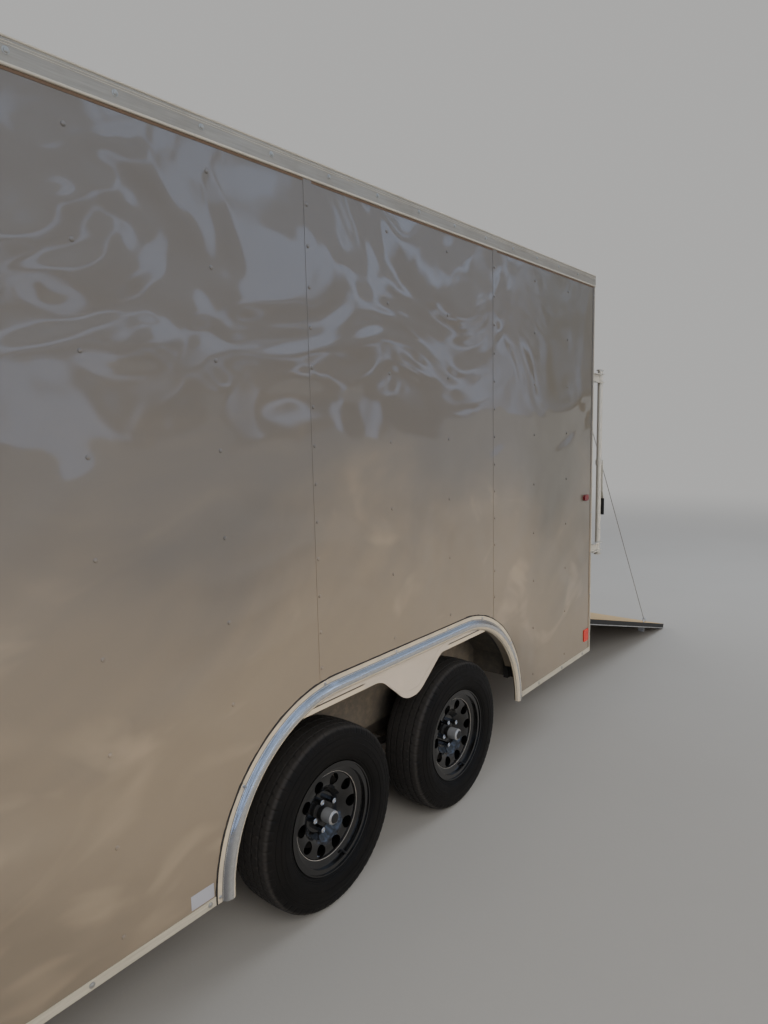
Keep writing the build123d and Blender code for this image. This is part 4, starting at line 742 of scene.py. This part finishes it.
def slab(low, high, ease=0.001):
    """A block with eased edges."""
    low, high = np.array(low, float), np.array(high, float)
    ease = min(ease, 0.4 * (high - low).min())
    a, b = low + ease, high - ease
    rows = []
    for z, grow in ((low[2], 0), (a[2], 1), (b[2], 1), (high[2], 0)):
        x0, x1 = (low[0], high[0]) if grow else (a[0], b[0])
        y0, y1 = (low[1], high[1]) if grow else (a[1], b[1])
        cut = ease * grow
        rows.append([(x0 + cut, y0, z), (x1 - cut, y0, z), (x1, y0 + cut, z), (x1, y1 - cut, z),
                     (x1 - cut, y1, z), (x0 + cut, y1, z), (x0, y1 - cut, z), (x0, y0 + cut, z)])
    return skin_of(rows)


def sweep(profile, path, sideways, closed=False):
    """A section carried along a path: the section's x is sideways, and its y is across both."""
    path = [Vector(p) for p in path]
    side = Vector(sideways).normalized()
    rows = []
    for i, point in enumerate(path):
        before = path[i - 1] if i or closed else path[i]
        after = path[(i + 1) % len(path)] if i < len(path) - 1 or closed else path[i]
        ahead = (after - before).normalized()
        lift = ahead.cross(side).normalized()
        rows.append([point + side * x + lift * y for x, y in profile])
    return skin_of(rows, closed_along=closed)


def tube(path, radius, sides=8):
    """A round bar along a path."""
    path = [Vector(p) for p in path]
    rows = []
    lift = None
    for i, point in enumerate(path):
        ahead = (path[min(i + 1, len(path) - 1)] - path[max(i - 1, 0)]).normalized()
        lift = ahead.orthogonal() if lift is None else lift - ahead * lift.dot(ahead)
        lift = lift.normalized()
        other = ahead.cross(lift)
        rows.append([point + (lift * c + other * s) * radius for c, s in circle(sides)])
    return skin_of(rows)


def piece(name, forms, body, material, sharp=38):
    """One object made of forms, which rides on a body and has a slot's material."""
    points, faces = joined(forms)
    mesh = bpy.data.meshes.new(name)
    mesh.from_pydata(points.tolist(), [], faces)
    mesh.update()
    mesh.polygons.foreach_set("use_smooth", [True] * len(mesh.polygons))
    mesh.set_sharp_from_angle(angle=radians(sharp))
    mesh.materials.append(materials[material])
    made = bpy.data.objects.new(name, mesh)
    bpy.context.scene.collection.objects.link(made)
    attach(made, body)
    return made


def scaled(shape, by):
    return shape[0] * by, shape[1]


# Screw heads
PAN = lathe([(0.0056, 0.0), (0.0056, 0.0006), (0.0048, 0.0012), (0.0042, 0.0026), (0.0026, 0.0033),
             (0.0012, 0.0035)], 12)
SKIN_SCREW = scaled(PAN, 1.22)
RAIL_SCREW = joined([lathe([(0.0088, 0.0), (0.0088, 0.0008), (0.0070, 0.0014)], 16), scaled(PAN, 1.25)])


def arch_middle(x):
    """Where the middle line of the wheel arch is nearest to x."""
    return min(max(x, ARCH_REAR), ARCH_FRONT)


def over_arch(x, z, room=0.03):
    """True where the flare or the opening is."""
    return hypot(x - arch_middle(x), z - SKIN_LOW) < FLARE_R + room


def in_door(x, z, side):
    """True where the side door and its trim are."""
    return side < 0 and DOOR[0] - 0.06 < x < DOOR[1] + 0.07 and DOOR[2] - 0.05 < z < DOOR[3] + 0.06


def side_screw(head, x, side, z, proud, along=(1, 0, 1)):
    """A screw head on the left or right side of the body."""
    return placed(head, (x, side * (HALF + proud), z), (0, side, 0), along)


# Screws of the wall sheets: rows at the studs, and closer rows beside each lap
stud_heights = [ROW_LOW + ROW_PITCH * k for k in range(9)]
lap_heights = [ROW_LOW + ROW_PITCH / 2 * k for k in range(17)]
skin_screws = []
for side in (1, -1):
    columns = [(seam + LAP_SCREW, lap_heights, LAP_SCREW_PROUD) for seam in SEAMS]
    for x in STUDS:
        near = min(abs(x - seam) for seam in SEAMS)
        if near > 0.06 and REAR_X + 0.09 < x < FRONT_X - 0.09:
            columns.append((x, stud_heights, 0.0))
    for x, heights, proud in columns:
        for z in heights:
            if not over_arch(x, z) and not in_door(x, z, side) and z < RAIL_LOW - 0.03:
                skin_screws.append(side_screw(SKIN_SCREW, x, side, z, proud, (1, 0, 0.3)))
piece("skin_screws", skin_screws, "root", "body_paint")

# Laps: each front sheet ends over the next one, as a thin step
laps = []
for side in (1, -1):
    for seam in SEAMS:
        low = SKIN_LOW + 0.03
        if over_arch(seam, low, 0.0):
            low = SKIN_LOW + (FLARE_R ** 2 - (seam - arch_middle(seam)) ** 2) ** 0.5 + 0.004
        y0, y1 = sorted((side * (HALF - 0.0002), side * (HALF + LAP_PROUD)))
        laps.append(slab((seam - LAP_BACK, y0, low), (seam + LAP_AHEAD, y1, RAIL_LOW), 0.0004))
piece("skin_laps", laps, "root", "body_paint")

# Screws of the top rail, the bottom trim, the corner trims and the nose's rail
rail_screws = [RAIL_SCREW_REAR + RAIL_SCREW_PITCH * k for k in range(18)]
corner_screws = [0.45 + 0.26 * k for k in range(9)]
low_screws = [REAR_X + 0.12 + 0.30 * k for k in range(3)] + [0.674 + 0.377 * k for k in range(6)]
trim_screws = []
for side in (1, -1):
    trim_screws += [side_screw(RAIL_SCREW, x, side, RAIL_SCREW_Z, RAIL_PROUD) for x in rail_screws]
    trim_screws += [side_screw(RAIL_SCREW, x, side, LOW_SCREW_Z, TRIM_PROUD) for x in low_screws]
    trim_screws += [side_screw(PAN, REAR_X + 0.014, side, z, TRIM_PROUD) for z in corner_screws]
    nose_out = Vector((HALF, side * NOSE_DEPTH, 0)).normalized()
    for k in range(5):
        share = 0.08 + 0.2 * k
        at = Vector((FRONT_X + NOSE_DEPTH * share, side * HALF * (1 - share), RAIL_SCREW_Z))
        trim_screws.append(placed(RAIL_SCREW, at + nose_out * RAIL_PROUD, nose_out, (0, 0, 1)))
piece("trim_screws", trim_screws, "root", "screw_steel")


def round_the_body(grow, z):
    """A line round the sides and the V at a height, a distance outside the skin."""
    turn = atan2(HALF, NOSE_DEPTH)
    width = HALF + grow
    tip = FRONT_X + NOSE_DEPTH + grow / sin(turn)
    corner = tip - width / (HALF / NOSE_DEPTH)
    radius = NOSE_RADIUS + grow
    middle = tip - radius / sin(turn)
    arc = [(middle + radius * cos(a), radius * sin(a), z)
           for a in np.linspace(pi / 2 - turn, turn - pi / 2, 9)]
    return [(REAR_X, width, z), (corner, width, z), *arc, (corner, -width, z), (REAR_X, -width, z)]


# Beads and ribs along the top rail, lighter than the rail as painted highlight, and a thin brown strip
# under it
upright = (0, 0, 1)
rail_lines = [  # radius, distance outside the skin, height
    (0.0034, 0.0026, ROOF_EDGE - 0.0004), (0.0010, 0.0030, ROOF_EDGE - 0.0105),
    (0.0010, 0.0030, ROOF_EDGE - 0.0165), (0.0042, 0.0022, RAIL_LOW + 0.0040)]
beads = [sweep(round_section(radius), round_the_body(grow, z), upright) for radius, grow, z in rail_lines]
piece("rail_beads", beads, "root", "rail_bead_highlight")
# A thin brown strip just under the top rail
brown_strip_section = [(-0.004, 0.0004), (0.004, 0.0004), (0.004, -0.0012), (-0.004, -0.0012)]
brown_strip = sweep(brown_strip_section, round_the_body(0, RAIL_LOW - 0.0040), upright)
piece("rail_brown_strip", [brown_strip], "root", "brown_strip")

# Raised bars of the tread plate on the stone guard
guard = nodes["stone_guard"]
bar_outline = [(0.0125, 0.0), (0.0055, 0.0027), (-0.0055, 0.0027), (-0.0125, 0.0), (-0.0055, -0.0027),
               (0.0055, -0.0027)]
bar = skin_of([[(x, y, 0) for x, y in bar_outline],
               [(0.82 * x, 0.55 * y, 0.0010) for x, y in bar_outline]])
bars = []
face_length = hypot(HALF, NOSE_DEPTH)
for side in (1, -1):
    ahead = Vector((NOSE_DEPTH, -side * HALF, 0)) / face_length
    out = Vector((HALF, side * NOSE_DEPTH, 0)).normalized()
    for i in range(int((face_length - 0.08) / TREAD_PITCH)):
        for j in range(int(GUARD_HIGH / TREAD_PITCH)):
            slant = 1 if (i + j) % 2 else -1
            at = Vector((FRONT_X, side * HALF, SKIN_LOW + (j + 0.6) * TREAD_PITCH))
            at += ahead * (TREAD_EDGE + i * TREAD_PITCH)
            at += out * GUARD_PROUD
            near, spot = guard.closest_point_on_mesh(at)[:2]
            if near and (spot - at).length < 0.001:
                bars.append(placed(bar, at, out, ahead + Vector((0, 0, slant))))
piece("guard_bars", bars, "root", "tread_plate")

# Bright trims on the ramp's side edges, at its outer sheet
ramp_along = Vector((-cos(RAMP_SLOPE), 0, -sin(RAMP_SLOPE)))
ramp_above = Vector((-sin(RAMP_SLOPE), 0, cos(RAMP_SLOPE)))
ramp_far = (RAMP_PIN[0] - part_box("ramp_deck")[0][0] - RAMP_FACE * sin(RAMP_SLOPE)) / cos(RAMP_SLOPE)


def on_ramp(along, y, above):
    """A point out from the ramp's hinge and above its face."""
    return Vector((RAMP_PIN[0], y, RAMP_PIN[1])) + ramp_along * along + ramp_above * above


edge_section = [(0.0, -0.0030), (0.0016, -0.0030), (0.0016, 0.0030), (0.0, 0.0030)]
strips = []
for side in (1, -1):
    path = [on_ramp(along, side * RAMP_HALF, 0.0032 - RAMP_UNDER) for along in (0.016, ramp_far - 0.001)]
    strips.append(sweep([(side * x, y) for x, y in edge_section], path, (0, 1, 0)))
piece("ramp_edges", strips, "ramp", "ramp_edge")


def arch_point(radius, degrees, y, front=True):
    """A point round an arch, degrees up from its foot at the front or at the rear."""
    along = radius * cos(radians(degrees))
    x = ARCH_FRONT + along if front else ARCH_REAR - along
    return x, y, SKIN_LOW + radius * sin(radians(degrees))


def arch_path(radius, y, steps=36):
    """Points round an arch at a radius, from the front's foot to the rear's."""
    front = [arch_point(radius, a, y) for a in np.linspace(0, 90, steps)]
    return front + [arch_point(radius, a, y, front=False) for a in np.linspace(90, 0, steps)]


# Screws in the flares' flanges
flare_screws = []
flange = FLARE_R - 0.010
for side in (1, -1):
    y = side * (HALF + FLARE_PROUD)
    spots = [arch_point(flange, a, y) for a in (2, 37, 84)]
    spots += [(x, y, SKIN_LOW + flange) for x in (-0.268, -0.640)]
    spots += [arch_point(flange, a, y, front=False) for a in (2, 37, 74)]
    flare_screws += [placed(PAN, spot, (0, side, 0), (1, 0, 1)) for spot in spots]
piece("flare_screws", flare_screws, "root", "trim_aluminium")

# A hand-laid bead of dark sealant above each flare, and the flare's rolled edges
sealant = []
for side in (1, -1):
    path = arch_path(FLARE_R + 0.0016, side * (HALF + 0.0006), 60)
    seal_rows = []
    for i, point in enumerate(path):
        size = 0.0046 + 0.0018 * sin(i * 0.83) * sin(i * 0.31 + 1.1) + 0.0008 * sin(i * 2.7)
        middle = Vector((arch_middle(point[0]), point[1], SKIN_LOW))
        outward = (Vector(point) - middle).normalized()
        across = Vector((0, side, 0))
        seal_rows.append([Vector(point) + outward * (size * 0.9 * c) + across * (0.0026 * s)
                          for c, s in circle(8)])
    sealant.append(skin_of(seal_rows))
piece("flare_sealant", sealant, "root", "seal")
flare_edges = [sweep(round_section(0.0016), arch_path(FLARE_R - back, side * (HALF + y)), (0, 1, 0))
               for side in (1, -1) for back, y in ((FLARE_FLANGE, 0.0030), (FLARE_WIDTH - 0.001, 0.0080))]
piece("flare_edges", flare_edges, "root", "polished_aluminium")

# A blank label in front of the left arch
label = slab((0.657, HALF + 0.0001, 0.371), (0.739, HALF + 0.0007, 0.416), 0.0003)
piece("blank_label", [label], "root", "label")


def tyre(side, x):
    """A tyre with five ribs and cut shoulders, and the rings of its sidewalls."""
    steps, pitch = 480, 8
    # Half width and radius in tenths of a mm, and kind: 1 is the shoulder, 2 a rib's face, 3 its edge
    half = [(770, 1900, 0), (772, 2060, 0), (800, 2100, 0), (852, 2130, 0), (880, 2165, 0), (885, 2200, 0),
            (912, 2218, 0), (935, 2240, 0), (938, 2275, 0), (956, 2290, 0), (968, 2310, 0), (988, 2400, 0),
            (1006, 2500, 0), (1010, 2556, 0), (1024, 2562, 0), (1028, 2600, 0), (1019, 2606, 0),
            (1020, 2690, 0), (1016, 2745, 0), (1024, 2751, 0), (1018, 2790, 0), (1004, 2796, 0),
            (990, 2880, 0), (972, 2955, 0), (980, 2961, 0), (972, 2996, 0), (956, 3003, 0), (945, 3070, 0),
            (926, 3130, 0), (932, 3136, 1), (916, 3190, 1), (896, 3240, 1), (869, 3300, 1), (832, 3352, 1),
            (786, 3386, 1), (740, 3401, 1), (640, 3413, 2), (560, 3419, 3), (549, 3345, 0), (491, 3345, 0),
            (480, 3424, 3), (400, 3429, 2), (300, 3433, 2), (225, 3436, 3), (214, 3355, 0), (156, 3355, 0),
            (145, 3438, 3), (70, 3439, 2)]
    section = half + [(0, 3440, 2)] + [(-y, r, kind) for y, r, kind in reversed(half)]
    profile = [(y / 10000, r / 10000, kind) for y, r, kind in section]
    rows = []
    for i in range(steps):
        angle = 2 * pi * i / steps
        row = []
        for j, (y, r, kind) in enumerate(profile):
            beat = (i + (3 if y < 0 else 0)) % pitch
            if kind == 1 and beat == 0:
                r -= 0.0020
                y -= 0.0010 * (1 if y > 0 else -1)
            elif kind == 1 and beat == 4 and r > 0.334:
                r -= 0.0014
            elif kind == 3 and (i + 2) % pitch == 0:
                r -= 0.0040
                y += 0.0018 * (1 if (j % 2) else -1)
            elif kind == 2 and (i + (j % 3)) % pitch in (3, 7):
                r -= 0.0024
            row.append((x + r * sin(angle), side * (WHEEL_Y + y), AXLE_Z + r * cos(angle)))
        rows.append(row)
    return skin_of(rows, closed_along=True)


# Wheels: the tyre in place of the plain one, the valve, light grey rings of painted highlight on the rim's
# edges, and the nuts' ends
valve_stem = lathe([(0.0065, -0.004), (0.0060, 0.002), (0.0042, 0.006), (0.0038, 0.022),
                    (0.0040, 0.023), (0.0040, 0.031), (0.0026, 0.033)], 12)
nut_end = lathe([(0.0098, -0.0006), (0.0098, 0.0003), (0.0086, 0.0012), (0.0070, 0.0012),
                 (0.0062, 0.0002), (0.0060, -0.0004)], 20)
wheels = [("front_left", AXLE_MID + AXLE_HALF, 1), ("front_right", AXLE_MID + AXLE_HALF, -1),
          ("rear_left", AXLE_MID - AXLE_HALF, 1), ("rear_right", AXLE_MID - AXLE_HALF, -1)]
for name, x, side in wheels:
    body = f"wheel_{name}"
    made = piece(f"tread_{name}", [tyre(side, x)], body, "tyre_rubber", 30)
    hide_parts(f"tyre_{name}")
    seat = Vector((x + VALVE_RADIUS * sin(VALVE_TURN), side * (WHEEL_Y + VALVE_OUT),
                   AXLE_Z + VALVE_RADIUS * cos(VALVE_TURN)))
    piece(f"valve_{name}", [placed(valve_stem, seat, (0.05, side, -0.2))], body, "seal")
    # Light grey rings on the rim's edges: painted highlight
    rings = []
    for radius, reach in RIM_HIGHLIGHT_RINGS:
        loop = [(x + radius * c, side * (WHEEL_Y + reach), AXLE_Z + radius * s) for c, s in circle(96)]
        rings.append(sweep(round_section(0.0017, 8), loop, (0, 1, 0), closed=True))
    piece(f"rim_highlights_{name}", rings, body, "rim_highlight")
    ends = []
    for c, s in circle(NUTS):
        at = (x + NUT_CIRCLE * side * c, side * (WHEEL_Y + NUT_OUT), AXLE_Z - NUT_CIRCLE * s)
        ends.append(placed(nut_end, at, (0, side, 0)))
    piece(f"nut_ends_{name}", ends, body, "chrome")


def round_the_door(near, far, proud):
    """Slabs round the side door's opening, from near to far outside it."""
    x0, x1, z0, z1 = DOOR
    spans = [(x0 - far, x0 - near, z0 - far, z1 + far), (x1 + near, x1 + far, z0 - far, z1 + far),
             (x0 - near, x1 + near, z0 - far, z0 - near), (x0 - near, x1 + near, z1 + near, z1 + far)]
    return [slab((a0, -HALF - proud, b0), (a1, 0.0002 - HALF, b1), 0.0004) for a0, a1, b0, b1 in spans]


# Bare trim and a rubber seal round the side door's opening
piece("door_trim", round_the_door(0.005, 0.032, 0.0016), "root", "trim_aluminium")
piece("door_seal", round_the_door(0.001, 0.005, 0.0010), "root", "seal")

# Rubber surrounds of the tail lamps
grommets = []
for side in (1, -1):
    low = (REAR_X - 0.0070, side * LAMP_Y - SURROUND_Y, LAMP_Z - SURROUND_Z)
    high = (REAR_X + 0.0004, side * LAMP_Y + SURROUND_Y, LAMP_Z + SURROUND_Z)
    grommets.append(slab(low, high, 0.0025))
piece("lamp_grommets", grommets, "root", "seal")

# Screws of the lining and of the floor
lining_screws = []
for side in (1, -1):
    for x in STUDS:
        for z in (0.62, 1.10, 1.58, 2.06, 2.54):
            in_opening = side < 0 and DOOR[0] - 0.03 < x < DOOR[1] + 0.03 and DOOR[2] < z < DOOR[3]
            over_box = abs(x - AXLE_MID) < BOX_HALF and z < 0.85
            if REAR_X + 0.12 < x < FRONT_X - 0.06 and not in_opening and not over_box:
                at = (x, side * (HALF - WALL), z)
                lining_screws.append(placed(PAN, at, (0, -side, 0), (1, 0, 0.4)))
for x in STUDS:
    for y in [(j - 4) * 0.27 for j in range(9)]:
        over_box = abs(x - AXLE_MID) < BOX_HALF and abs(y) > 0.90
        if REAR_X + 0.10 < x < FRONT_X - 0.06 and not over_box:
            at = (x, y, FLOOR - 0.0022)
            lining_screws.append(placed(scaled(PAN, 0.9), at, (0, 0, 1), (1, 0.3, 0)))
piece("lining_screws", lining_screws, "root", "cable_steel")

# Cables: five-strand wire rope from each drum to its eye, riding on the cables body
cad_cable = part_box("ramp_cables")
low_end = Vector((cad_cable[0][0], 0, cad_cable[0][2]))
high_end = Vector((cad_cable[1][0], 0, cad_cable[1][2]))
rope_length = (high_end - low_end).length
run = (high_end - low_end).normalized()


def rope(side):
    steps = int(rope_length / ROPE_STEP)
    strands = []
    lift = run.orthogonal().normalized()
    other = run.cross(lift)
    for strand in range(STRANDS):
        path = []
        for k in range(steps + 1):
            t = k / steps
            angle = 2 * pi * (t * rope_length / ROPE_LAY + strand / STRANDS)
            at = low_end.lerp(high_end, t) + (lift * cos(angle) + other * sin(angle)) * STRAND_REACH
            path.append((at.x, side * CABLE_Y + at.y, at.z))
        strands.append(tube(path, STRAND_RADIUS, 5))
    return joined(strands)


ropes = piece("wire_ropes", [rope(1), rope(-1)], "cables", "cable_steel")
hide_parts("ramp_cables")
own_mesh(ropes)

# Coils of the ramp's counterbalance springs
coil = []
for side in (1, -1):
    steps = int((COIL_FAR - COIL_NEAR) / COIL_PITCH * COIL_SIDES)
    path = [(SPRING[0] + COIL_RADIUS * cos(2 * pi * k / COIL_SIDES),
             side * (COIL_NEAR + (COIL_FAR - COIL_NEAR) * k / steps),
             SPRING[1] + COIL_RADIUS * sin(2 * pi * k / COIL_SIDES)) for k in range(steps + 1)]
    coil.append(tube(path, COIL_WIRE, 6))
piece("spring_coils", coil, "root", "galvanised")

# Floor
bpy.ops.mesh.primitive_plane_add(size=400, location=(0, 0, 0))
ground = bpy.context.object
ground.name = "floor_stage"
ground.data.materials.append(floor_finish())
